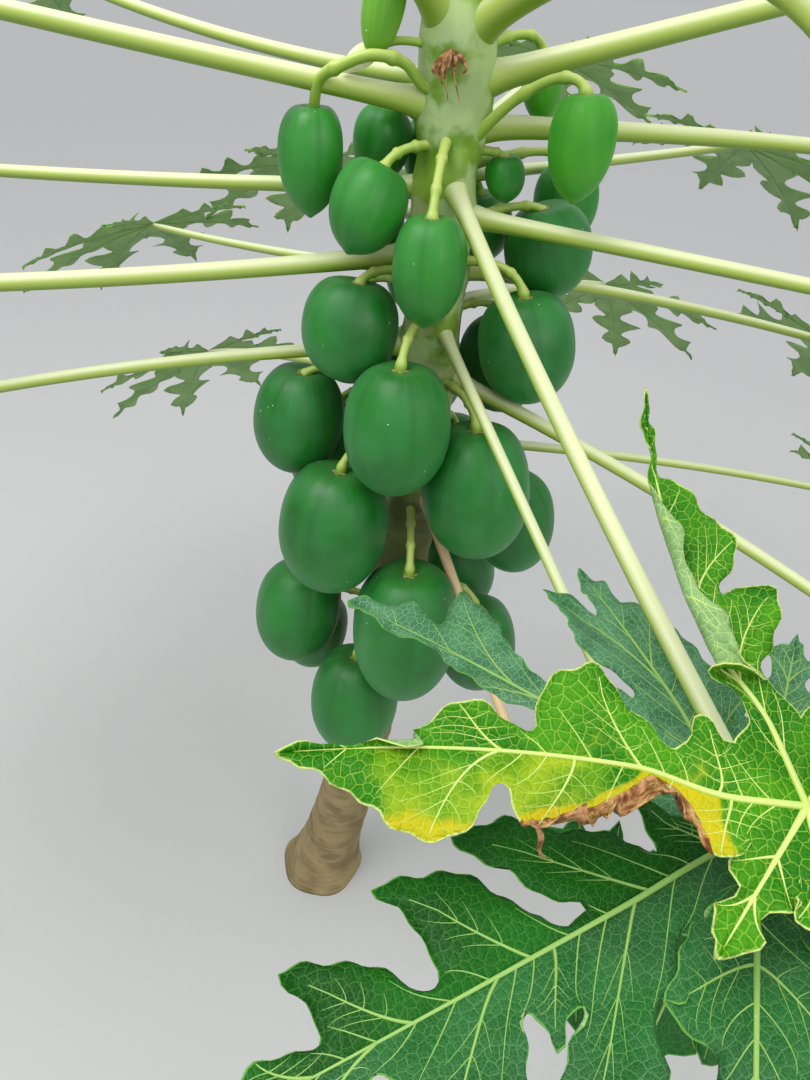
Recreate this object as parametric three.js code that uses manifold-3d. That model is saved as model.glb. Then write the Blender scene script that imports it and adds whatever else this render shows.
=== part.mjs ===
// A papaya tree in fruit. Millimetres, +Z up, origin at the centre of the flat cut at ground level.
import * as THREE from 'three';
import { mergeVertices } from 'three/addons/utils/BufferGeometryUtils.js';
import Module from 'manifold-3d';

const wasm = await Module();
wasm.setup();

// Trunk: one leaning stem that straightens as it rises
const TRUNK_HEIGHT = 1590;
const TRUNK_LEAN = 142;
const TRUNK_STRAIGHT_FROM = 1300;
const TRUNK_TOP_RADIUS = 28;
const TRUNK_TAPER = 24;
const TRUNK_SIDES = 16;
const ROOT_FLARE = 26;
const ROOT_FLARE_HEIGHT = 60;
const SHOOT_BELOW_TOP = 90;
const FLARE_RINGS = [0, 15, 40, 75, 120];
const SHAFT_FROM = 180;
const RING_STEP = 120;
const SHOOT_RINGS = [1, 0.62, 0.32, 0.1];

// Gap left between pieces that touch
const CLEARANCE = 0.35;

// Leaf: a round stalk with a thin lobed blade
const STALK_SIDES = 5;
const STALK_STEPS = 40;
const STALK_RINGS = 5;
const STALK_RING_SPREAD = 1.5;
const STALK_FOOT = 0.09;
const STALK_FLARE = 0.5;
const BLADE_THICKNESS = 6;
const LOBES = [[-130, 0.6], [-86, 0.82], [-43, 0.94], [0, 1], [43, 0.94], [86, 0.82], [130, 0.6]];
const SINUS_DEPTH = 0.28;
const SINUS_LIFT = 0.35;
const LAST_SINUS = { beyond: 22, share: 0.6 };
const YOUNG_LOBES = [[-100, 0.7], [-50, 0.9], [0, 1], [50, 0.9], [100, 0.7]];
const LOBE_RIB = [0.6, 0.8];
const SIDE_LOBE = { along: 0.62, across: 0.19 };
const NOTCH = { along: 0.77, across: 0.1 };
const HEEL = 0.06;
const STALK_INTO_BLADE = 12;
const BLADE_FOLD = 0.22;
const BLADE_DROOP = 0.16;

// Fruit: a blunt barrel on a curved stalk
const FRUIT_SIDES = 10;
const FRUIT_PROFILE = [[0.07, 0.45], [0.25, 0.83], [0.5, 1], [0.75, 0.88], [0.93, 0.44]];
const FRUIT_STALK_RADIUS = 5.5;
const FRUIT_STALK_SIDES = 5;
const FRUIT_STALK_RINGS = 4;
const FRUIT_STALK_SINK = 8;
const FRUIT_STALK_RISE = 12;
const FRUIT_STALK_ARCH = 24;
const FRUIT_STALK_SHOULDER = 0.6;
const FRUIT_LEAN = 8;

// Growing tip
const CAP_RADIUS = 34;
const CAP_SINK = 20;
const CAP_FACES = { round: 8, high: 5 };

const rad = THREE.MathUtils.degToRad;
const lerp = THREE.MathUtils.lerp;
const UP = new THREE.Vector3(0, 0, 1);

function heading(azimuth, elevation = 0) {
  const flat = Math.cos(rad(elevation));
  return new THREE.Vector3(
    flat * Math.cos(rad(azimuth)), flat * Math.sin(rad(azimuth)), Math.sin(rad(elevation)));
}

// Closed solid through rings of points, with a flat or pointed end
function loft(rings, startPoint, endPoint) {
  const count = rings[0].length;
  const points = [...rings.flat(), startPoint, endPoint];
  const start = points.length - 2;
  const end = points.length - 1;
  const last = (rings.length - 1) * count;
  const index = [];
  for (let i = 0; i < count; i++) {
    const j = (i + 1) % count;
    index.push(start, j, i, end, last + i, last + j);
    for (let ring = 0; ring < rings.length - 1; ring++) {
      const low = ring * count;
      const high = low + count;
      index.push(low + i, low + j, high + j, low + i, high + j, high + i);
    }
  }
  const geometry = new THREE.BufferGeometry().setFromPoints(points);
  geometry.setIndex(index);
  return geometry;
}

function ringAround(centre, side, up, radius, sides) {
  return Array.from({ length: sides }, (_, i) => {
    const turn = 2 * Math.PI * i / sides;
    return centre.clone()
      .addScaledVector(side, radius * Math.cos(turn))
      .addScaledVector(up, radius * Math.sin(turn));
  });
}

// Round rod along a route, a list of { at, side, up }
function rod(route, radius, sides) {
  const rings = route.map(({ at, side, up }) => ringAround(at, side, up, radius, sides));
  return loft(rings, route[0].at, route[route.length - 1].at);
}

// Joining and cutting
function toSolid(geometry) {
  const clean = geometry.clone();
  clean.deleteAttribute('normal');
  clean.deleteAttribute('uv');
  const merged = mergeVertices(clean, 1e-4);
  return new wasm.Manifold(new wasm.Mesh({
    numProp: 3,
    vertProperties: new Float32Array(merged.attributes.position.array),
    triVerts: new Uint32Array(merged.index.array),
  }));
}

function toGeometry(solid) {
  const mesh = solid.getMesh();
  const geometry = new THREE.BufferGeometry();
  geometry.setAttribute('position', new THREE.BufferAttribute(mesh.vertProperties, 3));
  geometry.setIndex(new THREE.BufferAttribute(mesh.triVerts, 1));
  return geometry;
}

// Trunk
function trunkAxis(z) {
  const left = 1 - Math.min(Math.max(z, 0) / TRUNK_STRAIGHT_FROM, 1);
  return new THREE.Vector3(TRUNK_LEAN * (1 - left * left), 0, z);
}

function trunkRadius(z) {
  const shaft = TRUNK_TOP_RADIUS + TRUNK_TAPER * (1 - z / TRUNK_HEIGHT);
  const flare = ROOT_FLARE * Math.exp(-z / ROOT_FLARE_HEIGHT);
  const shootFrom = TRUNK_HEIGHT - SHOOT_BELOW_TOP;
  const shoot = Math.max(0, (z - shootFrom) / SHOOT_BELOW_TOP);
  return (shaft + flare) * Math.sqrt(Math.max(0, 1 - shoot * shoot));
}

function trunkGeometry(grow = 0) {
  const heights = [...FLARE_RINGS];
  for (let z = SHAFT_FROM; z < TRUNK_HEIGHT - SHOOT_BELOW_TOP; z += RING_STEP) heights.push(z);
  for (const part of SHOOT_RINGS) heights.push(TRUNK_HEIGHT - SHOOT_BELOW_TOP * part);
  const east = new THREE.Vector3(1, 0, 0);
  const north = new THREE.Vector3(0, 1, 0);
  const rings = heights.map((z) => {
    return ringAround(trunkAxis(z), east, north, trunkRadius(z) + grow, TRUNK_SIDES);
  });
  return loft(rings, trunkAxis(0), trunkAxis(TRUNK_HEIGHT + grow));
}

const keepClearOfTrunk = toSolid(trunkGeometry(CLEARANCE));

// Leaf stalk: starts on the trunk's axis, and bends evenly in height and in direction
function stalkRoute(leaf) {
  const turn = leaf.turn ?? 0;
  const at = trunkAxis(leaf.z);
  const route = [];
  for (let step = 0; step <= STALK_STEPS; step++) {
    const part = step / STALK_STEPS;
    const azimuth = leaf.az + turn * part;
    const forward = heading(azimuth, lerp(leaf.rise[0], leaf.rise[1], part));
    const side = heading(azimuth + 90);
    const up = forward.clone().cross(side);
    route.push({ at: at.clone(), side, up, azimuth, part });
    at.addScaledVector(forward, leaf.long / STALK_STEPS);
  }
  return route;
}

function stalkGeometry(leaf, route) {
  const count = leaf.rings ?? STALK_RINGS;
  const stops = Array.from({ length: count }, (_, i) => {
    return route[Math.round(STALK_STEPS * (i / (count - 1)) ** STALK_RING_SPREAD)];
  });
  const rings = stops.map(({ at, side, up, part }) => {
    const foot = leaf.thick[0] * STALK_FLARE * Math.exp(-part / STALK_FOOT);
    const radius = (lerp(leaf.thick[0], leaf.thick[1], part) + foot) / 2;
    return ringAround(at, side, up, radius, STALK_SIDES);
  });
  return loft(rings, stops[0].at, stops[stops.length - 1].at);
}

// Leaf blade, in its own frame: x along the middle lobe, y to the left, z out of the upper face
function bladePoints(leaf) {
  const size = leaf.blade;
  const lobes = leaf.lobes ?? LOBES;
  const droop = leaf.droop ?? BLADE_DROOP;
  const place = (angle, along, across) => {
    const x = along * Math.cos(rad(angle)) - across * Math.sin(rad(angle));
    const y = along * Math.sin(rad(angle)) + across * Math.cos(rad(angle));
    const reach = Math.hypot(x, y) / size;
    const z = BLADE_FOLD * Math.abs(across) - droop * size * reach * reach;
    return new THREE.Vector3(x, y, z);
  };
  const hub = place(0, 0, 0);
  const heel = place(180, HEEL * size, 0);
  const deep = SINUS_DEPTH * size;
  const lift = BLADE_FOLD * deep * SINUS_LIFT;
  const sinuses = [place(lobes[0][0] - LAST_SINUS.beyond, deep * LAST_SINUS.share, 0)];
  for (let i = 1; i < lobes.length; i++) {
    const between = (lobes[i][0] + lobes[i - 1][0]) / 2;
    sinuses.push(place(between, deep, 0).addScaledVector(UP, lift));
  }
  sinuses.push(place(lobes[lobes.length - 1][0] + LAST_SINUS.beyond, deep * LAST_SINUS.share, 0));
  return { hub, heel, sinuses, lobes, place, size };
}

function bladeGeometry(leaf) {
  const { hub, heel, sinuses, lobes, place, size } = bladePoints(leaf);
  const points = [hub, heel, ...sinuses];
  const add = (point) => points.push(point) - 1;
  const faces = [];
  const outline = [];
  lobes.forEach(([angle, share], i) => {
    const long = share * size;
    const right = 2 + i;
    const left = 3 + i;
    const rib = LOBE_RIB.map((along) => add(place(angle, along * long, 0)));
    const tip = add(place(angle, long, 0));
    const [rightLobe, leftLobe] = [-1, 1].map((sign) => {
      return add(place(angle, SIDE_LOBE.along * long, sign * SIDE_LOBE.across * long));
    });
    const [rightNotch, leftNotch] = [-1, 1].map((sign) => {
      return add(place(angle, NOTCH.along * long, sign * NOTCH.across * long));
    });
    faces.push([0, right, rightLobe], [0, rightLobe, rib[0]], [rib[0], rightLobe, rightNotch]);
    faces.push([rib[0], rightNotch, rib[1]], [rib[1], rightNotch, tip], [rib[1], tip, leftNotch]);
    faces.push([rib[0], rib[1], leftNotch], [rib[0], leftNotch, leftLobe], [0, rib[0], leftLobe]);
    faces.push([0, leftLobe, left]);
    outline.push(right, rightLobe, rightNotch, tip, leftNotch, leftLobe);
  });
  const lastSinus = 1 + sinuses.length;
  outline.push(lastSinus, 1);
  faces.push([0, lastSinus, 1], [0, 1, 2]);

  // The lower face is the upper one again, turned over, and a wall joins their outlines
  const count = points.length;
  const half = BLADE_THICKNESS / 2;
  const all = [
    ...points.map((point) => point.clone().addScaledVector(UP, half)),
    ...points.map((point) => point.clone().addScaledVector(UP, -half)),
  ];
  const index = [];
  for (const [a, b, c] of faces) index.push(a, b, c, a + count, c + count, b + count);
  outline.forEach((a, i) => {
    const b = outline[(i + 1) % outline.length];
    index.push(a, a + count, b + count, a, b + count, b);
  });
  const geometry = new THREE.BufferGeometry().setFromPoints(all);
  geometry.setIndex(index);
  return geometry;
}

// Frame of the blade at the end of its stalk: the middle lobe's direction, then a roll about it
function bladeFrame(leaf, end) {
  const forward = heading(end.azimuth + (leaf.main ?? 0), leaf.pitch);
  const left = UP.clone().cross(forward).normalize();
  const out = forward.clone().cross(left);
  const frame = new THREE.Matrix4().makeBasis(forward, left, out);
  frame.multiply(new THREE.Matrix4().makeRotationX(rad(leaf.roll ?? 0)));
  const hubAhead = HEEL * leaf.blade - STALK_INTO_BLADE;
  frame.setPosition(end.at.clone().addScaledVector(forward, hubAhead));
  return frame;
}

function leafSolid(leaf) {
  const route = stalkRoute(leaf);
  const stalk = toSolid(stalkGeometry(leaf, route));
  if (!leaf.blade) return stalk;
  const blade = bladeGeometry(leaf).applyMatrix4(bladeFrame(leaf, route[STALK_STEPS]));
  return stalk.add(toSolid(blade));
}

// Fruit: its centre stands off the trunk's axis, and its tip leans outwards. Its stalk leaves the
// trunk by `rise` above the fruit's top, and arches over before it goes in.
function fruitSolid(fruit) {
  const centre = trunkAxis(fruit.z).addScaledVector(heading(fruit.az), fruit.out);
  const axis = heading(fruit.az + 180, 90 - (fruit.lean ?? FRUIT_LEAN));
  const side = heading(fruit.az + 90);
  const front = axis.clone().cross(side);
  const top = centre.clone().addScaledVector(axis, fruit.half);
  const tip = centre.clone().addScaledVector(axis, -fruit.half);
  const rings = FRUIT_PROFILE.map(([down, share]) => {
    return ringAround(top.clone().lerp(tip, down), side, front, share * fruit.radius, FRUIT_SIDES);
  });
  const body = toSolid(loft(rings.reverse(), tip, top));

  const arch = fruit.arch ?? FRUIT_STALK_ARCH;
  const foot = trunkAxis(top.z + (fruit.rise ?? FRUIT_STALK_RISE));
  const bend = new THREE.CubicBezierCurve3(
    foot,
    foot.clone().lerp(top, FRUIT_STALK_SHOULDER).setZ(Math.max(foot.z, top.z) + arch),
    top.clone().addScaledVector(axis, arch),
    top.clone().addScaledVector(axis, -FRUIT_STALK_SINK),
  );
  const route = Array.from({ length: FRUIT_STALK_RINGS }, (_, i) => {
    const part = i / (FRUIT_STALK_RINGS - 1);
    return { at: bend.getPoint(part), side, up: bend.getTangent(part).cross(side) };
  });
  return body.add(toSolid(rod(route, FRUIT_STALK_RADIUS, FRUIT_STALK_SIDES)));
}

// Leaves that show from the front: height and direction on the trunk, length of the stalk, its
// thickness and its rise at both ends, then the blade's middle lobe and how far that points down
const LEAVES = [
  { z: 1382, az: 190, long: 760, thick: [22, 17], rise: [8, 10], blade: 300, pitch: -18 },
  { z: 1303, az: 170, long: 860, thick: [17, 15], rise: [-5, -1], blade: 290, pitch: -30 },
  { z: 1232, az: 195, long: 740, thick: [21, 18], rise: [-5.5, 0.5], blade: 300, pitch: -30 },
  { z: 1116, az: 189, long: 800, thick: [16, 14], rise: [-2, -15.5], blade: 290, pitch: -40 },
  { z: 1206, az: 137, long: 680, thick: [13, 11], rise: [-10, -5], blade: 280, pitch: -28 },
  { z: 1406, az: 146, long: 740, thick: [17, 14], rise: [0, 12], blade: 290, pitch: -20 },
  { z: 1402, az: -5, long: 800, thick: [25, 15], rise: [17, 15], blade: 310, pitch: -12 },
  { z: 1365, az: 6, long: 760, thick: [22, 13], rise: [2, -6], blade: 300, pitch: -26 },
  { z: 1314, az: 54, turn: -16, long: 720, thick: [14, 14], rise: [-4, 1.4], blade: 290, pitch: -24 },
  { z: 1276, az: -20, long: 790, thick: [18, 14], rise: [-2, -3], blade: 300, pitch: -30 },
  { z: 1213, az: 36, turn: -16, long: 780, thick: [17, 14], rise: [-11.6, -15.6], blade: 290, pitch: -36 },
  { z: 1088, az: -24, long: 800, thick: [17, 14], rise: [-13, -26], blade: 280, pitch: -45 },
  { z: 985, az: 10, long: 740, thick: [13, 11], rise: [-5, -14], blade: 270, pitch: -40 },
  {
    z: 1320, az: -71, long: 735, thick: [17, 14], rise: [-24, -16], blade: 350, main: -80, pitch: -2,
    droop: 0.05,
    lobes: [[-145, 0.62], [-104, 0.82], [-66, 1.03], [0, 1], [44, 0.9], [86, 0.75], [128, 0.55]],
  },
  { z: 1158, az: -66, long: 700, thick: [13, 11], rise: [-24, -26], blade: 270, pitch: -45 },
  {
    z: 1440, az: -47, turn: -60, long: 955, thick: [26, 18], rise: [33, -79], blade: 330, rings: 9,
    main: -75, pitch: 1, roll: -25, droop: 0.04,
    lobes: [[-128, 0.75], [-72, 0.93], [0, 0.9], [55, 0.3], [95, 0.32], [138, 0.45]],
  },
  // Leaves behind the trunk, and round its top
  { z: 1345, az: 75, long: 700, thick: [15, 12], rise: [2, 6], blade: 290, pitch: -22 },
  { z: 1255, az: 110, long: 740, thick: [17, 14], rise: [-4, -6], blade: 290, pitch: -30 },
  { z: 1165, az: 62, long: 760, thick: [16, 13], rise: [-8, -16], blade: 280, pitch: -38 },
  { z: 1050, az: 128, long: 740, thick: [15, 12], rise: [-10, -22], blade: 270, pitch: -42 },
  { z: 1432, az: 100, long: 720, thick: [24, 18], rise: [16, 20], blade: 290, pitch: -8 },
  { z: 1448, az: 232, long: 680, thick: [28, 18], rise: [36, 30], blade: 280, pitch: 2 },
  { z: 1468, az: 48, long: 680, thick: [26, 18], rise: [36, 34], blade: 280, pitch: 4 },
  { z: 1484, az: -92, long: 600, thick: [28, 18], rise: [56, 48], blade: 250, pitch: 14 },
];

// Fruit that shows from the front, from the top down, then the fruit behind the trunk
const FRUIT = [
  { z: 1466, az: 200, out: 82, radius: 21, half: 42, lean: 12, rise: -20 },
  { z: 1324, az: 188, out: 150, radius: 36, half: 59, lean: 2, rise: -22, arch: 0 },
  { z: 1335, az: 152, out: 88, radius: 33, half: 44, rise: -24, arch: 2 },
  { z: 1290, az: -140, out: 110, radius: 41, half: 50, lean: 28, rise: 8, arch: 12 },
  { z: 1240, az: -97, out: 112, radius: 40, half: 60, lean: 4, rise: 56, arch: 4 },
  { z: 1154.5, az: -143, out: 120, radius: 55, half: 62, lean: 10, rise: -14, arch: 10 },
  { z: 1017, az: -167, out: 165, radius: 58, half: 74, lean: 8, rise: -6, arch: 4 },
  { z: 1060, az: -104, out: 136, radius: 61.5, half: 83, lean: 4, rise: 16 },
  { z: 901, az: -132, out: 148, radius: 71, half: 92 },
  { z: 712, az: -158, out: 150, radius: 62, half: 86 },
  { z: 764, az: -84, out: 150, radius: 72, half: 108, lean: 4 },
  { z: 603, az: -107, out: 130, radius: 64, half: 90, lean: 6 },
  { z: 966, az: -53, out: 126, radius: 69, half: 92 },
  { z: 862, az: -2, out: 152, radius: 58, half: 80 },
  { z: 664, az: -20, out: 146, radius: 60, half: 82 },
  { z: 1137, az: -22, out: 122, radius: 57, half: 69, lean: 10 },
  { z: 1232, az: 13, out: 133, radius: 52, half: 58, lean: 16, rise: -34, arch: 2 },
  { z: 1315, az: 4, out: 67, radius: 22, half: 26, rise: 0, arch: 4 },
  { z: 1268, az: 37, out: 196, radius: 40, half: 52, lean: 4, rise: 0, arch: 20 },
  { z: 1363, az: -30, out: 151, radius: 34, half: 53, lean: 2, rise: -95, arch: 22 },
  { z: 1402, az: 28, out: 112, radius: 23, half: 36, lean: 6, rise: -20 },
  { z: 1320, az: 104, out: 88, radius: 33, half: 44 },
  { z: 1248, az: 142, out: 114, radius: 44, half: 46, rise: -8, arch: 0 },
  { z: 1240, az: 62, out: 100, radius: 42, half: 46, rise: -14 },
  { z: 1168, az: 98, out: 118, radius: 52, half: 56, rise: -8 },
  { z: 1095, az: 148, out: 122, radius: 54, half: 66 },
  { z: 1068, az: 35, out: 122, radius: 56, half: 70 },
  { z: 1024, az: 92, out: 126, radius: 60, half: 72 },
  { z: 925, az: 155, out: 135, radius: 62, half: 84 },
  { z: 876, az: 60, out: 130, radius: 66, half: 88 },
  { z: 772, az: 112, out: 130, radius: 64, half: 86 },
  { z: 705, az: 40, out: 128, radius: 60, half: 82 },
  { z: 600, az: 165, out: 122, radius: 54, half: 76 },
];

// Young leaves round the growing tip, grown together at their feet
const YOUNG_LEAVES = [
  { z: 1500, az: 150, long: 430, thick: [20, 12], rise: [60, 56], blade: 200, pitch: 22, lobes: YOUNG_LOBES },
  { z: 1515, az: 10, long: 420, thick: [20, 12], rise: [62, 58], blade: 190, pitch: 24, lobes: YOUNG_LOBES },
  { z: 1530, az: -130, long: 330, thick: [16, 9], rise: [72, 70], blade: 130, pitch: 36, lobes: YOUNG_LOBES },
];

// A dead stalk without a blade hangs among the lowest fruit
const DRY_STALK = { z: 935, az: -61, long: 430, thick: [13, 9], rise: [-40, -34] };

const MATERIALS = {
  trunk: { color: 0x8d8468, roughness: 0.85 },
  stalk: { color: 0xb59a78, roughness: 0.7 },
  leaf: { color: 0x3f7d3a, roughness: 0.5 },
  fruit: { color: 0x2f7a45, roughness: 0.45 },
};

const tree = new THREE.Group();

function addPiece(name, geometry, finish) {
  const mesh = new THREE.Mesh(geometry, new THREE.MeshStandardMaterial(MATERIALS[finish]));
  mesh.name = name;
  tree.add(mesh);
}

function addCutPiece(name, solid, finish) {
  addPiece(name, toGeometry(solid.subtract(keepClearOfTrunk)), finish);
}

const numbered = (word, i) => `${word}_${String(i + 1).padStart(2, '0')}`;

addPiece('trunk', trunkGeometry(), 'trunk');
LEAVES.forEach((leaf, i) => addCutPiece(numbered('leaf', i), leafSolid(leaf), 'leaf'));
FRUIT.forEach((fruit, i) => addCutPiece(numbered('fruit', i), fruitSolid(fruit), 'fruit'));
addCutPiece('dry_stalk', leafSolid(DRY_STALK), 'stalk');

// A cap over the trunk's tip joins the young leaves into one piece
const cap = new THREE.SphereGeometry(CAP_RADIUS, CAP_FACES.round, CAP_FACES.high);
cap.translate(TRUNK_LEAN, 0, TRUNK_HEIGHT - CAP_SINK);
const young = YOUNG_LEAVES.map(leafSolid).reduce((all, leaf) => all.add(leaf), toSolid(cap));
addCutPiece('young_leaves', young, 'leaf');

export default tree;
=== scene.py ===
# %% [markdown]
# # A papaya tree in fruit
# A young dwarf papaya is one fleshy, unbranched trunk. Every leaf stands straight on it, on a long
# hollow stalk, and one or two fruit hang in the corner above each old leaf. This lesson dresses the
# plain solids of such a tree: every leaf, fruit and the trunk is made again with fine shapes, by the
# same rules and sizes as the solids, so each new piece lands where its solid is.

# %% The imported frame
import math

import bmesh
import bpy
import numpy as np
from mathutils import Matrix, Vector


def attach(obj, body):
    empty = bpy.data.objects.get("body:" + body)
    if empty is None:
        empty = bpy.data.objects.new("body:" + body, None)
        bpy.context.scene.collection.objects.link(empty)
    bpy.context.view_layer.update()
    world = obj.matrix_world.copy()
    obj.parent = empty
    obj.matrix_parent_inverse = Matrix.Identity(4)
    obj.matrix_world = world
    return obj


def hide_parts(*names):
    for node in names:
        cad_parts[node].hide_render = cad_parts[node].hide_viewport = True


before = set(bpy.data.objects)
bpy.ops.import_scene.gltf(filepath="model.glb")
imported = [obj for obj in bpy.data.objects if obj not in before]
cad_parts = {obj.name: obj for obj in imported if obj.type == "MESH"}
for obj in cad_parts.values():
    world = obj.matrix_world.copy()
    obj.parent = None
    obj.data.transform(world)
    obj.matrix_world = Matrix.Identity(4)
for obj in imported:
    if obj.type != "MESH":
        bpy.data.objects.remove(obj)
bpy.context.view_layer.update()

# %% [markdown]
# ## Camera, floor and light
# The photo was taken from 1.5 m up, beside the crown, looking down on the fruit. A camera is a
# place and three directions, so its turn is built from a pitch and a small roll rather than by
# pointing it at something: that keeps the crowded perspective of the two near leaves.

# %% Camera
CAMERA_PLACE = Vector((0.124, -0.98, 1.5))
CAMERA_PITCH = math.radians(35)
CAMERA_ROLL = math.radians(4)
FOCAL_PIXELS = 811
LONG_SIDE_PIXELS = 1080
SENSOR_WIDTH = 36
NEAREST, FARTHEST = 0.02, 900

ahead = Vector((0, math.cos(CAMERA_PITCH), -math.sin(CAMERA_PITCH)))
level_right = Vector((1, 0, 0))
level_up = level_right.cross(ahead)
right = level_right * math.cos(CAMERA_ROLL) + level_up * math.sin(CAMERA_ROLL)
above = level_up * math.cos(CAMERA_ROLL) - level_right * math.sin(CAMERA_ROLL)

camera = bpy.data.objects.new("camera", bpy.data.cameras.new("camera"))
camera.data.sensor_width = SENSOR_WIDTH
camera.data.lens = FOCAL_PIXELS / LONG_SIDE_PIXELS * SENSOR_WIDTH
camera.data.clip_start = NEAREST
camera.data.clip_end = FARTHEST
camera.matrix_world = Matrix.Translation(CAMERA_PLACE) @ Matrix((right, above, -ahead)).transposed().to_4x4()
bpy.context.scene.collection.objects.link(camera)
bpy.context.scene.camera = camera
print("lens", round(camera.data.lens, 2), "mm")

# %% [markdown]
# A soft sky and two large lamps give the even light of a bright overcast day. The world fills the
# shadows, the large lamp overhead lights the upper faces, and the lower one keeps the near leaves
# from going flat. The standard view keeps the full green of the leaves and fruit.

# %% World and lamps
WORLD_COLOUR = (0.93, 0.96, 1.0, 1)
WORLD_STRENGTH = 0.95


def soft_lamp(name, place, target, size, watts):
    lamp = bpy.data.objects.new(name, bpy.data.lights.new(name, 'AREA'))
    lamp.data.shape = 'DISK'
    lamp.data.size = size
    lamp.data.energy = watts
    lamp.location = place
    lamp.rotation_mode = 'QUATERNION'
    lamp.rotation_quaternion = (Vector(place) - Vector(target)).to_track_quat('Z', 'Y')
    bpy.context.scene.collection.objects.link(lamp)


world = bpy.data.worlds.new("sky")
world.use_nodes = True
world.node_tree.nodes["Background"].inputs["Color"].default_value = WORLD_COLOUR
world.node_tree.nodes["Background"].inputs["Strength"].default_value = WORLD_STRENGTH
bpy.context.scene.world = world
bpy.context.scene.view_settings.view_transform = 'Standard'
soft_lamp("overhead", (-1.1, -1.0, 4.2), (0.1, 0, 1.0), 2.6, 92)
soft_lamp("front", (2.2, -3.2, 2.6), (0.1, 0, 1.0), 2.2, 30)
print("lamps:", len(bpy.data.lights))

# %% [markdown]
# The floor is a wide disc. Far away it rises like the rim of a plate, so that no horizon shows
# behind the plant.

# %% Floor
FLOOR_SIDES = 96
FLOOR_REACH = 120
FLOOR_RISE_TO = 400
FLOOR_RISE = 50
FLOOR_COLOUR = (0.52, 0.515, 0.50, 1)
FLOOR_ROUGHNESS = 0.9

turns = [i * math.tau / FLOOR_SIDES for i in range(FLOOR_SIDES)]
ring = [(math.cos(turn), math.sin(turn)) for turn in turns]
floor_points = [(x * FLOOR_REACH, y * FLOOR_REACH, 0) for x, y in ring]
floor_points += [(x * FLOOR_RISE_TO, y * FLOOR_RISE_TO, FLOOR_RISE) for x, y in ring]
floor_rim = [(i - 1, i - 1 + FLOOR_SIDES, i + FLOOR_SIDES, i) for i in range(1, FLOOR_SIDES)]
floor_rim.append((FLOOR_SIDES - 1, 2 * FLOOR_SIDES - 1, FLOOR_SIDES, 0))
floor_mesh = bpy.data.meshes.new("floor")
floor_mesh.from_pydata(floor_points, [], [tuple(range(FLOOR_SIDES))] + floor_rim)
floor_finish = bpy.data.materials.new("floor")
floor_finish.use_nodes = True
surface = floor_finish.node_tree.nodes["Principled BSDF"].inputs
surface["Base Color"].default_value = FLOOR_COLOUR
surface["Roughness"].default_value = FLOOR_ROUGHNESS
floor_mesh.materials.append(floor_finish)
floor = bpy.data.objects.new("floor", floor_mesh)
bpy.context.scene.collection.objects.link(floor)
print("floor faces:", len(floor_mesh.polygons))

# %% [markdown]
# ## Helpers for materials
# Node trees get long when each node takes four lines. One helper adds a node, fills its sockets and
# links those that get another node's output. It works for shader trees, groups and geometry trees.

# %% Adding nodes
def put(tree, kind, sockets=None, **settings):
    node = tree.nodes.new(kind)
    for key, value in settings.items():
        setattr(node, key, value)
    for key, value in (sockets or {}).items():
        if isinstance(value, bpy.types.NodeSocket):
            tree.links.new(value, node.inputs[key])
        else:
            node.inputs[key].default_value = value
    return node


def maths(tree, operation, *values):
    return put(tree, 'ShaderNodeMath', dict(enumerate(values)), operation=operation).outputs[0]


def fade(tree, value, low, high):
    """0 up to low, 1 from high, smooth between."""
    sockets = {"Value": value, "From Min": low, "From Max": high}
    return put(tree, 'ShaderNodeMapRange', sockets, interpolation_type='SMOOTHSTEP').outputs[0]


def ramp(tree, value, low, high, start, end):
    """A straight change from start to end, while the value goes from low to high."""
    sockets = {"Value": value, "From Min": low, "From Max": high, "To Min": start, "To Max": end}
    return put(tree, 'ShaderNodeMapRange', sockets).outputs[0]


print("node helpers:", [helper.__name__ for helper in (put, maths, fade, ramp)])

# %% [markdown]
# Most finishes start from two colours and lay others over them, each through a mask. The masks come
# from noise, from directions, and from values that the mesh's points carry.

# %% Colours, noise and values
def blend(tree, factor, first, second):
    sockets = {"Factor": factor, 6: first, 7: second}
    return put(tree, 'ShaderNodeMix', sockets, data_type='RGBA').outputs[2]


def tint(tree, base, other, mask, share):
    """Lays another colour over a base, as strongly as the mask times the share."""
    return blend(tree, maths(tree, 'MULTIPLY', mask, share), base, other)


def noise(tree, place, scale, detail):
    sockets = {"Vector": place, "Scale": scale, "Detail": detail}
    return put(tree, 'ShaderNodeTexNoise', sockets).outputs[0]


def scaled(tree, vector, factors):
    return put(tree, 'ShaderNodeVectorMath', {0: vector, 1: factors}, operation='MULTIPLY').outputs[0]


def from_xyz(tree, x=0.0, y=0.0, z=0.0):
    return put(tree, 'ShaderNodeCombineXYZ', {0: x, 1: y, 2: z}).outputs[0]


def z_of(tree, vector):
    return put(tree, 'ShaderNodeSeparateXYZ', {0: vector}).outputs["Z"]


def read(tree, name):
    """What the mesh's points carry under a name: a number."""
    return put(tree, 'ShaderNodeAttribute', attribute_name=name).outputs["Fac"]


def read_vector(tree, name):
    return put(tree, 'ShaderNodeAttribute', attribute_name=name).outputs["Vector"]


def rgb(red, green, blue):
    """A colour picked as on a screen, 0 to 255, as the linear values that shaders take."""
    return tuple(((v / 255 + 0.055) / 1.055) ** 2.4 for v in (red, green, blue)) + (1,)


print("middle grey is", round(rgb(128, 128, 128)[0], 3), "in linear light")

# %% [markdown]
# Four effects are shared by several finishes, so each is a shader group with named sockets: broad
# mottling of a living surface, streaks that run along a stalk or a fruit, the fine net of veins
# in a leaf, and pale pores.

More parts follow.
